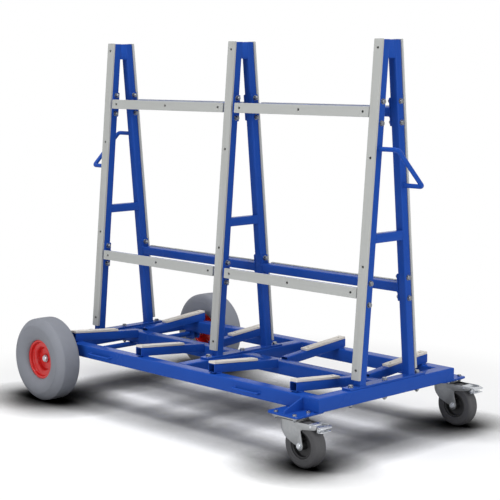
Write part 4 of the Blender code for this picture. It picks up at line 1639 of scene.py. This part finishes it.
@dataclass
class Rails:
    """Bolted rails between the A-frames, with their wear strips."""

    layout: Layout
    bolts: FastenerKit
    strips: StripCutter
    welds: WeldKit
    tube_size: float = 0.040
    heights: tuple[float, float] = (0.671, 1.423)
    overlap: float = 0.001
    flange: tuple[float, float] = (0.120, 0.007)
    flange_rounding: float = 0.005
    flange_edge: float = 0.0007
    weld_round: float = 0.006
    bolt_offset: float = 0.045
    strip_end_gap: float = 0.0125
    strip_shifts: tuple[float, float] = (0.002, 0.009)
    screw_places: tuple[float, ...] = (-0.372, 0.0, 0.372)

    def rail(self, side: int, x: float, run: float) -> Shape:
        """Tube with a flange plate at each end.

        Args:
            side: -1 on the right, 1 on the left.
            x: Where its middle is along the trolley.
            run: Distance down the slab face.

        Returns:
            The rail's shape.
        """
        layout = self.layout
        half = (layout.pitch - layout.leg) / 2 - layout.gap
        on_face = layout.on_face(side)
        depth = -side * (layout.strip_depth + layout.gap + self.tube_size / 2)
        reach = half - self.flange[1] + self.overlap
        shapes = [tube(Vector((-reach, 0, 0)), Vector((reach, 0, 0)), ACROSS,
                       (self.tube_size, self.tube_size), layout.tube_rounding)]
        for end in (-1, 1):
            shapes.append(moved(
                plate((self.flange[0], self.tube_size, self.flange[1]), self.flange_rounding,
                      self.flange_edge),
                turn(pi / 2, "Y"), at(end * (half - self.flange[1] / 2), 0, 0)))
            seat = end * (half - self.flange[1])
            centre = self.tube_size / 2
            ring = softened([(seat, a * centre, b * centre) for a, b in
                             ((-1, -1), (1, -1), (1, 1), (-1, 1), (-1, -1))], self.weld_round)
            move = on_face @ at(x, depth, -run)
            self.welds.add("rails", *[move @ point for point in ring])
        return moved(joined(shapes), at(x, depth, -run), on_face)

    def rail_fasteners(self, side: int, run: float) -> None:
        """Bolts through the flanges and the legs at one level.

        Args:
            side: -1 on the right, 1 on the left.
            run: Distance down the slab face.
        """
        layout = self.layout
        on_face = layout.on_face(side)
        depth = -side * (layout.strip_depth + layout.gap + self.tube_size / 2)
        flange_face = layout.leg / 2 + layout.gap + self.flange[1]
        for place in FRAMES.values():
            for offset in (-self.bolt_offset, self.bolt_offset):
                if place == 0:
                    spots = [(-flange_face, -1, Fastener.BOLT_HEAD),
                             (flange_face, 1, Fastener.NUT)]
                else:
                    spots = [(place * layout.leg / 2, place, Fastener.BOLT_HEAD),
                             (-place * flange_face, -place, Fastener.NUT)]
                for shift, facing, kind in spots:
                    x = place * layout.pitch + shift
                    self.bolts.add(kind, on_face @ Vector((x, depth, offset - run)),
                                   ALONG * facing)

    def build(self) -> None:
        """Make the eight rails and their strips."""
        length = self.layout.pitch - self.layout.strip_width - 2 * self.strip_end_gap
        screws = [(along, 0.0) for along in self.screw_places]
        for side_name, side in SIDES.items():
            for level, height in zip(LEVELS, self.heights):
                run = self.layout.run(height)
                self.rail_fasteners(side, run)
                for (bay, sign), shift in zip(BAYS.items(), self.strip_shifts):
                    name = f"{level}_{side_name}_{bay}"
                    x = sign * self.layout.pitch / 2
                    deliver(f"rail_tube_{name}", self.rail(side, x, run), BLUE, "chassis",
                            f"rail_{name}")
                    strip = self.strips.cut(side, (length, self.layout.strip_width),
                                            (x + shift, -run), 0.0, screws)
                    deliver(f"strip_{name}", strip, STRIP_LEVEL, "chassis",
                            f"rail_strip_{name}")


@dataclass
class PullHandles:
    """Bent round bars on the end frames to pull the trolley by."""

    layout: Layout
    welds: WeldKit
    radius: float = 0.010
    standoff: float = 0.100
    bend: float = 0.016
    ends: tuple[float, float] = (1.270, 1.110)

    def build(self) -> None:
        """Make the two handles."""
        start = self.layout.leg / 2
        reach = start + self.standoff
        high, low = self.ends
        right, left = -self.layout.leg_line(high), self.layout.leg_line(low)
        corners = ((start, right, high), (reach, right, high), (reach, left, low),
                   (start, left, low))
        path = softened(corners, self.bend, steps=12)
        for name, sign in BAYS.items():
            spin = turn(0 if sign > 0 else pi, "Z")
            place = at(sign * self.layout.pitch, 0, 0)
            deliver(f"handle_bar_{name}", moved(rod(path, self.radius, 28), spin, place), BLUE,
                    "chassis", f"pull_handle_{name}")
            for corner in (corners[0], corners[3]):
                self.welds.ring("handles", place @ spin @ Vector(corner), ALONG, self.radius)


@dataclass
class RearWheels:
    """Fixed axle with red rims and solid foam tyres."""

    centre: tuple[float, float, float] = (-0.815, 0.538, 0.200)
    width: float = 0.128
    axle_radius: float = 0.0125
    gap: float = 0.0003
    rim_radius: float = 0.0865
    rim_lip: float = 0.008
    lip_inset: float = 0.026
    sheet: float = 0.003
    step_radius: float = 0.0571
    shelf_depth: float = 0.042
    web_depth: float = 0.064
    cone_draw: float = 0.004
    step_draw: tuple[float, float] = (0.006, 0.003)
    rim_rounding: float = 0.0035
    hub_radius: float = 0.021
    hub: tuple[float, float] = (-0.069, 0.006)
    seal_margins: tuple[float, float] = (0.001, 0.0025)
    seal_rises: tuple[float, float] = (0.001, 0.0006)
    seal_depth: float = 0.002
    nut_across: float = 0.029
    nut_length: float = 0.010
    nut_washer: tuple[float, float] = (0.0175, 0.0022)
    nut_edge: float = 0.001
    end_chamfer: float = 0.0015
    end_share: float = 0.88
    collar_radius: float = 0.019
    collar_start: float = 0.440
    collar_rounding: float = 0.001
    stub_start: float = 0.003
    overlap: float = 0.002
    steps: int = 96
    axle_steps: int = 40

    def tyre(self) -> Shape:
        """Solid tyre with a domed wall, a moulded ring on it and a nearly flat tread.

        A wall's points are (out from the rim's lip, in from the tyre's side), a shoulder's
        (down from the tread, in from the tyre's side).

        Returns:
            The tyre's shape about Z.
        """
        half = self.width / 2
        radius = self.centre[2]
        lip = self.rim_radius + self.rim_lip + self.gap
        plane = half - self.lip_inset - self.sheet - self.gap
        seat = self.rim_radius + self.gap
        bead = [(seat, plane), (lip, plane), (lip + 0.0006, half - 0.0215)]
        ring = ((0.056, 0.0002), (0.066, 0.0008), (0.0664, 0.0018), (0.069, 0.0022),
                (0.0696, 0.0016))
        outer_wall = ((0.003, 0.0175), (0.010, 0.0115), (0.020, 0.0065), (0.032, 0.0026),
                      (0.045, 0.0006), *ring)
        inner_wall = ((0.002, 0.0160), (0.006, 0.0090), (0.012, 0.0042), (0.020, 0.0015),
                      (0.034, 0.0003), *ring)
        outer_shoulder = (
            (0.0330, 0.0025), (0.0270, 0.0050), (0.0210, 0.0080), (0.0155, 0.0117),
            (0.0105, 0.0160), (0.0058, 0.0212), (0.0026, 0.0252), (0.0015, 0.0268),
            (0.0010, 0.0290), (0.0006, 0.0360), (0.0002, 0.0480))
        inner_shoulder = (
            (0.0330, 0.0022), (0.0240, 0.0034), (0.0170, 0.0050), (0.0110, 0.0076),
            (0.0065, 0.0110), (0.0030, 0.0150), (0.0014, 0.0180), (0.0010, 0.0210),
            (0.0006, 0.0300), (0.0002, 0.0460))
        halves = []
        for wall, shoulder in ((outer_wall, outer_shoulder), (inner_wall, inner_shoulder)):
            halves.append(bead + [(lip + out, half - inward) for out, inward in wall]
                          + [(radius - drop, half - inward) for drop, inward in shoulder])
        outer = halves[0] + [(radius, 0.0)]
        inner = [(x, -y) for x, y in reversed(halves[1])]
        return turned([Vector((x, y, 0)) for x, y in outer + inner], self.steps)

    def rim(self) -> Shape:
        """Pressed rim: rolled lip, deep cone, step, web and hub.

        Returns:
            The rim's shape about Z.
        """
        half = self.width / 2
        face = half - self.lip_inset
        lip = self.rim_radius + self.rim_lip
        inside = self.rim_radius - self.sheet
        shelf, web = half - self.shelf_depth, half - self.web_depth
        low, high = self.hub
        bore = self.axle_radius + self.gap
        step = self.step_radius
        under, over = self.step_draw
        cone = inside - self.cone_draw
        corners = [
            (lip, face), (lip, face - self.sheet), (self.rim_radius, face - self.sheet),
            (self.rim_radius, self.sheet - face), (lip, self.sheet - face), (lip, -face),
            (inside, -face), (cone, shelf - self.sheet), (step, shelf - self.sheet),
            (step - under, web - self.sheet), (self.hub_radius, web - self.sheet),
            (self.hub_radius, low), (bore, low), (bore, high), (self.hub_radius, high),
            (self.hub_radius, web), (step - over, web), (step + over, shelf),
            (cone, shelf), (inside, face)]
        return turned(softened(corners, self.rim_rounding, True, 3), self.steps)

    def bearing(self) -> Shape:
        """Dark seal of the ball bearing in the hub's end.

        Returns:
            The seal's shape about Z.
        """
        end = self.hub[1]
        inner = self.axle_radius + self.seal_margins[0]
        outer = self.hub_radius - self.seal_margins[1]
        corners = ((inner, end - self.seal_depth), (outer, end - self.seal_depth),
                   (outer, end + self.seal_rises[1]), (inner, end + self.seal_rises[0]))
        return turned(softened(corners, 0.0004, True, 2), 48)

    def across(self, shapes: Sequence[Shape]) -> Shape:
        """Shapes made about Z, joined and laid along the axle."""
        return moved(joined(shapes), turn(-pi / 2, "X"), at(self.centre[0], 0, self.centre[2]))

    def axle_tube(self) -> Shape:
        """Painted middle of the axle, which ends inside the collars."""
        end = self.collar_start + self.overlap
        return self.across([cylinder(self.axle_radius, -end, end, self.axle_steps)])

    def axle_ends(self) -> Shape:
        """Bright stubs with their collars, washers, nuts and chamfered ends.

        Returns:
            The shape of both ends.
        """
        inner = self.collar_start
        outer = self.centre[1] + self.hub[0] - self.gap
        nut_low = self.centre[1] + self.hub[1] + self.gap
        end = nut_low + self.nut_length
        shapes = []
        for side in SIDES.values():
            stub = turned([Vector((self.axle_radius * share, height, 0)) for share, height in (
                (1.0, inner + self.stub_start), (1.0, end - self.end_chamfer),
                (self.end_share, end))], self.axle_steps, loop=False)
            collar = turned(softened((
                (self.axle_radius, inner), (self.collar_radius, inner),
                (self.collar_radius, outer), (self.axle_radius, outer)),
                self.collar_rounding, True, 2), self.axle_steps)
            nut = joined([
                moved(washer(self.axle_radius, *self.nut_washer), at(0, 0, nut_low)),
                hexagon(self.nut_across, nut_low + self.nut_washer[1], end - self.nut_edge)])
            spin = turn(0 if side > 0 else pi, "X")
            shapes += [moved(shape, spin) for shape in (stub, collar, nut)]
        return self.across(shapes)

    def build(self) -> None:
        """Make the axle and both wheels."""
        deliver("axle_ends", self.axle_ends(), BRIGHT, "chassis", "rear_axle", angle=radians(30))
        deliver("axle_tube", self.axle_tube(), BLUE, "chassis")
        for name, side in SIDES.items():
            place = at(self.centre[0], side * self.centre[1], self.centre[2])
            spin = turn(-side * pi / 2, "X")
            body = f"rear_wheel_{name}"
            deliver(f"foam_tyre_{name}", moved(self.tyre(), spin, place), FOAM, body,
                    f"rear_tyre_{name}")
            deliver(f"dished_rim_{name}", moved(self.rim(), spin, place), RED, body,
                    f"rear_rim_{name}", angle=radians(60))
            deliver(f"bearing_seal_{name}", moved(self.bearing(), spin, place), NYLON, body)


@dataclass
class Casters:
    """Braked swivel casters under the front corners."""

    swivel: tuple[float, float] = (0.814, 0.496)
    plate_top: float = 0.2067
    plate: tuple[float, float, float] = (0.135, 0.110, 0.005)
    plate_corner: float = 0.010
    plate_edge: float = 0.0007
    slots: tuple[float, float] = (0.0525, 0.040)
    slot: tuple[float, float, float] = (0.020, 0.0115, 0.0057)
    race_radius: float = 0.032
    race_height: float = 0.0035
    race_bore: float = 0.010
    race_rounding: float = 0.0012
    race_lip: tuple[float, float, float] = (0.001, 0.003, 0.004)
    lower_race: tuple[float, float, float] = (0.0095, 0.030, 0.0295)
    race_sunk: float = 0.001
    pin_radius: float = 0.008
    pin_nut: tuple[float, float] = (0.0225, 0.008)
    crown_top: float = 0.1919
    radius: float = 0.095
    trail: float = 0.076
    tyre_width: float = 0.056
    hub_radius: float = 0.056
    shoulder: float = 0.014
    rim_width: float = 0.046
    rim_sheet: float = 0.008
    rim_draw: float = 0.002
    web_width: float = 0.014
    boss_radius: float = 0.017
    axle_radius: float = 0.0075
    bolt: tuple[float, float] = (0.013, 0.007)
    bolt_across: float = 0.020
    bolt_washer: float = 0.0016
    shank_end: float = 0.003
    nut_drop: float = 0.001
    thread: tuple[float, float] = (0.0058, 0.004)
    inner_half: float = 0.0325
    sheet: float = 0.0045
    nose: float = 0.049
    tail_share: float = 2.4
    side_bend: float = 0.010
    tip_radius: float = 0.0185
    tyre_clearance: float = 0.003
    window: tuple[float, ...] = (0.0004, 0.006, 0.0005, 0.010)
    fork_edge: float = 0.0007
    past: float = 0.002
    pivot: tuple[float, float] = (0.136, 0.0084)
    pedal_length: float = 0.057
    pedal_sheet: float = 0.0035
    pedal_clearance: float = 0.0012
    pedal_bend: float = 0.010
    pedal_edge: float = 0.0006
    sleeve_radius: float = 0.0072
    shoe: tuple[float, float, float] = (0.012, 0.036, 0.024)
    shoe_corner: float = 0.002
    shoe_place: tuple[float, float] = (0.024, -0.012)
    tongue: tuple[float, float] = (0.027, 0.061)
    tongue_corner: float = 0.0055
    tongue_edges: tuple[float, float] = (0.0007, 0.0015)
    tongue_height: float = -0.016
    tongue_web: tuple[float, float, float] = (0.040, 0.0195, -0.00625)
    tongue_slot: tuple[float, float, float] = (0.010, 0.018, 0.004)
    tongue_slot_place: tuple[float, float] = (0.011, 0.0145)
    gap: float = 0.0003

    def top_plate(self) -> Shape:
        """Slotted plate with the upper ball race, kingpin and nut.

        Returns:
            The plate's shape.
        """
        crown_bottom = self.crown_top - self.sheet
        middle = self.plate_top - self.plate[2] / 2
        body = moved(plate(self.plate, self.plate_corner, self.plate_edge), at(0, 0, middle))
        holes = []
        for x in (-self.slots[0], self.slots[0]):
            for y in (-self.slots[1], self.slots[1]):
                slot = extruded(ring_of_box(*self.slot, 8), 4 * self.plate[2])
                holes.append(moved(slot, at(x, y, middle)))
        body = combined(body, holes, "DIFFERENCE")
        foot = self.crown_top + self.race_height + self.gap
        bore, radius, (draw, back, drop) = self.race_bore, self.race_radius, self.race_lip
        race = softened(((bore, foot), (radius - draw, foot), (radius, middle - drop),
                         (radius - back, middle), (bore, middle)), self.race_rounding, True, 3)
        across, height = self.pin_nut
        low = crown_bottom - self.gap - height
        pin = cylinder(self.pin_radius, low + height / 2, middle, 24)
        return joined([body, turned(race, 48), pin,
                       hexagon(across, low, crown_bottom - self.gap)])

    def fork_outline(self, half: float, nose: float, tail: float) -> Ring:
        """Plan of the fork: a round nose and two straight sides.

        Args:
            half: Half of its width, and the nose's radius.
            nose: Distance of the nose's tip ahead of the kingpin.
            tail: Distance of its open end behind the kingpin.

        Returns:
            The outline's points.
        """
        outline = [Vector((tail, half, 0))]
        steps = 32
        for step in range(steps + 1):
            angle = pi / 2 + pi * step / steps
            outline.append(Vector((half - nose + half * cos(angle), half * sin(angle), 0)))
        outline.append(Vector((tail, -half, 0)))
        return outline

    def fork_side(self) -> Ring:
        """Side view of the fork, with its long curves smoothed.

        Points are shares of the trail and of the crown's height over the wheel's axle.

        Returns:
            The outline's points.
        """
        drop = self.crown_top - self.radius
        front = ((-0.74, 1.0), (-0.66, 0.90), (-0.40, 0.57), (-0.03, 0.25), (0.62, 0.02))
        rear = ((1.07, 0.62), (1.12, 0.69), (1.20, 0.72), (2.15, 0.82), (2.21, 0.88), (2.21, 1.0))
        points = [(x * self.trail, self.radius + z * drop) for x, z in front]
        points[0] = (points[0][0], self.crown_top + self.past)
        last = points[-1]
        start = Vector((last[0] - self.trail, last[1] - self.radius)).angle_signed(Vector((1, 0)))
        start = start % (2 * pi)
        steps = 16
        for step in range(steps + 1):
            angle = start + (2 * pi - start) * step / steps
            points.append((self.trail + self.tip_radius * cos(angle),
                           self.radius + self.tip_radius * sin(angle)))
        tail = [(x * self.trail, self.radius + z * drop) for x, z in rear]
        tail[-1] = (tail[-1][0], self.crown_top + self.past)
        points += tail
        return softened(points, self.side_bend, True, 5)

    def fork(self) -> Shape:
        """Sheet of the fork, with the window over the tyre and the kingpin's bore.

        Returns:
            The fork's shape.
        """
        outer_half = self.inner_half + self.sheet
        crown_bottom = self.crown_top - self.sheet
        tail = self.tail_share * self.trail
        top = self.crown_top
        outer = moved(extruded(self.fork_outline(outer_half, self.nose, tail), top),
                      at(0, 0, top / 2))
        inner = moved(extruded(
            self.fork_outline(self.inner_half, self.nose - self.sheet, tail + self.past), top),
            at(0, 0, crown_bottom - top / 2))
        channel = combined(outer, [inner], "DIFFERENCE")
        side = moved(extruded(self.fork_side(), 2 * (outer_half + self.past)),
                     turn(pi / 2, "X"))
        pressed = combined(channel, [side], "INTERSECT")
        clear = self.radius + self.tyre_clearance
        start = self.trail - sqrt(clear ** 2 - (crown_bottom - self.radius) ** 2)
        inset, corner, edge, deep = self.window
        reach = 2 * self.sheet
        window = moved(plate((tail - start, 2 * self.inner_half - inset, deep), corner, edge),
                       at((tail + start) / 2, 0, self.crown_top))
        bore = cylinder(self.pin_radius + self.gap, self.crown_top - reach,
                        self.crown_top + reach, BORE_STEPS)
        return combined(pressed, [window, bore], "DIFFERENCE")

    def swivel_race(self) -> Shape:
        """Lower ball race under the top plate.

        Returns:
            The race's shape.
        """
        bore, foot, rim = self.lower_race
        low, high = self.crown_top - self.race_sunk, self.crown_top + self.race_height
        corners = ((bore, low), (foot, low), (rim, high), (bore, high))
        return turned(softened(corners, self.race_sunk, True, 3), 48)

    def axle_end(self, top: float) -> list[Shape]:
        """Washer on the fork's face, and a hexagon that ends at a distance."""
        face = self.inner_half + self.sheet
        return [moved(washer(self.axle_radius, self.bolt[0], self.bolt_washer), at(0, 0, face)),
                hexagon(self.bolt_across, face + self.bolt_washer, top)]

    def axle_bolt(self) -> Shape:
        """Axle with a hexagon head on one side and a nut on the other.

        Returns:
            The bolt's shape.
        """
        face = self.inner_half + self.sheet
        end, top = face + self.shank_end, face + self.bolt[1]
        radius, start = self.thread
        nut = joined([*self.axle_end(top - self.nut_drop), thread_end(radius, face + start, top)])
        return moved(joined([cylinder(self.axle_radius, -end, end, 24),
                             joined(self.axle_end(top)), moved(nut, turn(pi, "X"))]),
                     turn(pi / 2, "X"), at(self.trail, 0, self.radius))

    def tyre(self) -> Shape:
        """Rubber tyre with round shoulders and a moulded rim line.

        The wall's points are (out from the wheel body, in from the tyre's side).

        Returns:
            The tyre's shape about Z.
        """
        half = self.tyre_width / 2
        seat = self.hub_radius + self.gap
        wall = ((0.0006, 0.0012), (0.002, 0.0), (0.010, 0.0), (0.0106, 0.0006),
                (0.013, 0.0006), (0.0136, 0.0))
        outer = [(seat, self.rim_width / 2)]
        outer += [(seat + out, half - inward) for out, inward in wall]
        steps = 8
        for step in range(steps + 1):
            angle = pi / 2 * (1 - step / steps)
            outer.append((self.radius - 0.0004 - self.shoulder * (1 - cos(angle)),
                          half - self.shoulder * (1 - sin(angle))))
        outer.append((self.radius, 0.0))
        inner = [(x, -y) for x, y in reversed(outer[:-1])]
        return turned([Vector((x, y, 0)) for x, y in outer + inner], 80)

    def hub(self) -> Shape:
        """Wheel body with a rim, a dished web and a long boss.

        Returns:
            The wheel body's shape about Z.
        """
        inside = self.hub_radius - self.rim_sheet
        boss = self.inner_half - self.gap
        bore = self.axle_radius + self.gap
        web = self.web_width / 2
        outer = [(self.hub_radius, self.rim_width / 2), (inside, self.rim_width / 2),
                 (inside - self.rim_draw, web), (self.boss_radius + self.rim_draw, web),
                 (self.boss_radius, boss), (bore, boss)]
        corners = outer + [(x, -y) for x, y in reversed(outer)]
        return turned(softened(corners, 0.0012, True, 3), 64)

    def pedal(self) -> Shape:
        """Bent sheet pedal with its sleeve, shoe and slotted release tongue.

        The line's points are shares of the pedal's length.

        Returns:
            The pedal's shape about its pin.
        """
        half = self.inner_half - self.pedal_clearance
        length, sheet = self.pedal_length, self.pedal_sheet
        line = ((-0.25, 0.15), (0.0, 0.02), (0.36, 0.03), (0.80, 0.12), (1.0, 0.02))
        top = softened([(x * length, z * length) for x, z in line], self.pedal_bend, steps=6)
        low = [point - Vector((0, sheet, 0)) for point in reversed(top)]
        body = moved(extruded(top + low, 2 * half), turn(pi / 2, "X"))
        sleeve = moved(cylinder(self.sleeve_radius, -half, half, HOLE_STEPS), turn(pi / 2, "X"))
        shoe = moved(plate(self.shoe, self.shoe_corner),
                     at(self.shoe_place[0], 0, self.shoe_place[1]))
        inner = length - self.tongue[0]
        edge, web_edge = self.tongue_edges
        tongue = moved(plate((*self.tongue, sheet), self.tongue_corner, edge),
                       at(length - self.tongue[0] / 2, 0, self.tongue_height))
        width, height, middle = self.tongue_web
        web = moved(plate((sheet, width, height), web_edge), at(inner + sheet / 2, 0, middle))
        whole = combined(body, [sleeve, shoe, tongue, web], "UNION")
        back, aside = self.tongue_slot_place
        slots = []
        for y in (-aside, aside):
            slots.append(moved(extruded(ring_of_box(*self.tongue_slot, 5), 0.02),
                               at(length - back, y, self.tongue_height)))
        return without_slivers(combined(whole, slots, "DIFFERENCE"))

    def pedal_pin(self) -> Shape:
        """Pin of the pedal with riveted ends.

        Returns:
            The pin's shape.
        """
        end = self.inner_half + self.sheet
        profile = [Vector((r, h, 0)) for r, h in (
            (0.003, -end - 0.0016), (0.0055, -end - 0.0006), (0.0055, -end), (0.004, -end),
            (0.004, end), (0.0055, end), (0.0055, end + 0.0006), (0.003, end + 0.0016))]
        return moved(turned(profile, 24, False), turn(pi / 2, "X"))

    def build(self) -> None:
        """Make both casters."""
        for name, side in SIDES.items():
            place = at(self.swivel[0], side * self.swivel[1], 0)
            body, wheel, brake = f"caster_{name}", f"caster_wheel_{name}", f"brake_{name}"
            deliver(f"caster_top_{name}", moved(self.top_plate(), place), PRESSED, "chassis",
                    f"caster_plate_{name}")
            deliver(f"pressed_fork_{name}", moved(self.fork(), place), PRESSED, body,
                    f"caster_fork_{name}", angle=radians(38), edge=self.fork_edge)
            deliver(f"swivel_race_{name}", moved(self.swivel_race(), place), PRESSED, body)
            deliver(f"axle_bolt_{name}", moved(self.axle_bolt(), place), BRIGHT, body,
                    angle=radians(30))
            centre = place @ at(self.trail, 0, self.radius) @ turn(-side * pi / 2, "X")
            deliver(f"rubber_tyre_{name}", moved(self.tyre(), centre), RUBBER, wheel,
                    f"caster_tyre_{name}")
            deliver(f"wheel_body_{name}", moved(self.hub(), centre), NYLON, wheel,
                    f"caster_hub_{name}")
            hinge = place @ at(self.pivot[0], 0, self.crown_top - self.pivot[1])
            deliver(f"pedal_sheet_{name}", moved(self.pedal(), hinge), BRIGHT, brake,
                    f"brake_pedal_{name}", angle=radians(35), edge=self.pedal_edge)
            deliver(f"pedal_pin_{name}", moved(self.pedal_pin(), hinge), BRIGHT, brake)


@dataclass
class Studio:
    """Camera, lamps, pale floor and white surroundings."""

    eye: tuple[float, float, float] = (4.72371, -4.50441, 1.60436)
    heading: float = radians(46.04)
    pitch: float = radians(7.38)
    lens: float = 101.5
    sensor: float = 36.0
    view_end: float = 200.0
    aim: tuple[float, float, float] = (0.0, 0.0, 0.7)
    floor_size: float = 60.0
    floor_colour: str = "#f8f8f8"
    fade: tuple[float, float] = (1.2, 2.0)
    # Painted shadow on the floor: the reach of the occlusion that darkens its colour, and the
    # power that deepens it.
    painted_shadow_reach: float = 0.29
    painted_shadow_depth: float = 7.0
    surround: float = 0.19
    lamps: tuple[tuple[str, tuple[float, float, float], float, float], ...] = (
        ("overhead", (0.6, -1.5, 9.0), 4.4, 0.92),
        ("side", (1.0, -7.0, 1.9), 4.0, 0.39),
        ("end", (7.0, 1.0, 1.9), 4.0, 0.38))

    def camera(self) -> None:
        """Camera at the photograph's viewing angle."""
        data = bpy.data.cameras.new("camera")
        data.lens = self.lens
        data.sensor_width = self.sensor
        data.clip_end = self.view_end
        eye = linked("camera", data)
        eye.location = self.eye
        eye.rotation_euler = (pi / 2 - self.pitch, 0, self.heading)
        bpy.context.scene.camera = eye

    def lamp(self, name: str, place: tuple[float, float, float], size: float,
             level: float) -> None:
        """Soft box that faces the trolley.

        Args:
            name: The lamp's name.
            place: Where it hangs.
            size: Its width, which is also its height.
            level: Light that it gives at the trolley, where one shows a colour as written.
        """
        data = bpy.data.lights.new(name, "AREA")
        data.shape = "RECTANGLE"
        data.size = data.size_y = size
        aim = Vector(self.aim) - Vector(place)
        data.energy = level * (pi * aim.length) ** 2
        lamp = linked(name, data)
        lamp.location = place
        lamp.rotation_euler = aim.to_track_quat("-Z", "Y").to_euler()

    def world(self) -> None:
        """Even surround that looks white where it is seen or mirrored."""
        world = bpy.data.worlds.new("surround")
        world.use_nodes = True
        bpy.context.scene.world = world
        tree = world.node_tree
        tree.nodes.clear()
        ray = add(tree, "ShaderNodeLightPath")
        level = maths(tree, "MAXIMUM", ray.outputs["Is Camera Ray"], self.surround)
        for name in ("Is Glossy Ray", "Is Transmission Ray"):
            level = maths(tree, "MAXIMUM", level, ray.outputs[name])
        light = add(tree, "ShaderNodeBackground", {"Color": (1, 1, 1, 1), "Strength": level})
        add(tree, "ShaderNodeOutputWorld", {"Surface": light.outputs[0]})

    def floor(self) -> None:
        """Pale floor with a painted shadow: its colour darkens by occlusion where the trolley is
        close, and it fades to white.
        """
        half = self.floor_size / 2
        shape = bmesh.new()
        corners = [shape.verts.new((x * half, y * half, 0)) for x, y in (
            (-1, -1), (1, -1), (1, 1), (-1, 1))]
        shape.faces.new(corners)
        floor = scene_object("studio_floor", shape)
        made = bpy.data.materials.new("studio_floor")
        made.use_nodes = True
        tree = made.node_tree
        tree.nodes.clear()
        place = add(tree, "ShaderNodeTexCoord").outputs["Object"]
        far = add(tree, "ShaderNodeVectorMath", {0: place}, operation="LENGTH")
        fade = add(tree, "ShaderNodeMapRange", {
            "Value": far.outputs["Value"], "From Min": self.fade[0], "From Max": self.fade[1]},
            interpolation_type="SMOOTHSTEP")
        ray = add(tree, "ShaderNodeLightPath")
        share = maths(tree, "MULTIPLY", fade.outputs["Result"], ray.outputs["Is Camera Ray"])
        # Painted shadow: the floor's colour is darkened by ambient occlusion raised to a power.
        corner = add(tree, "ShaderNodeAmbientOcclusion", {"Distance": self.painted_shadow_reach})
        depth = maths(tree, "POWER", corner.outputs["AO"], self.painted_shadow_depth)
        tone = tinted(tree, depth, "#000000", self.floor_colour)
        matte = add(tree, "ShaderNodeBsdfDiffuse", {"Color": tone})
        glow = add(tree, "ShaderNodeEmission", {"Color": (1, 1, 1, 1), "Strength": 1.0})
        mix = add(tree, "ShaderNodeMixShader", {
            0: share, 1: matte.outputs[0], 2: glow.outputs[0]})
        add(tree, "ShaderNodeOutputMaterial", {"Surface": mix.outputs[0]})
        floor.data.materials.append(made)

    def build(self) -> None:
        """Set the stage."""
        self.camera()
        self.world()
        self.floor()
        for lamp in self.lamps:
            self.lamp(*lamp)
        bpy.context.scene.view_settings.view_transform = "Standard"


def main() -> None:
    """Build every sub-assembly in order and set the stage."""
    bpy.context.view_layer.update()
    # A new Blender file has a lamp of its own.
    for old in list(bpy.data.lights):
        bpy.data.lights.remove(old)
    layout = Layout()
    bolts = FastenerKit()
    welds = WeldKit()
    strips = StripCutter(layout, bolts)
    BaseFrame(layout, bolts, welds).build()
    SupportArms(layout, bolts, welds).build()
    AFrames(layout, strips, welds).build()
    Rails(layout, bolts, strips, welds).build()
    PullHandles(layout, welds).build()
    RearWheels().build()
    Casters().build()
    bolts.make()
    welds.make()
    Studio().build()


if __name__ == "__main__":
    logging.basicConfig(level=logging.INFO, format="%(name)s: %(message)s")
    main()
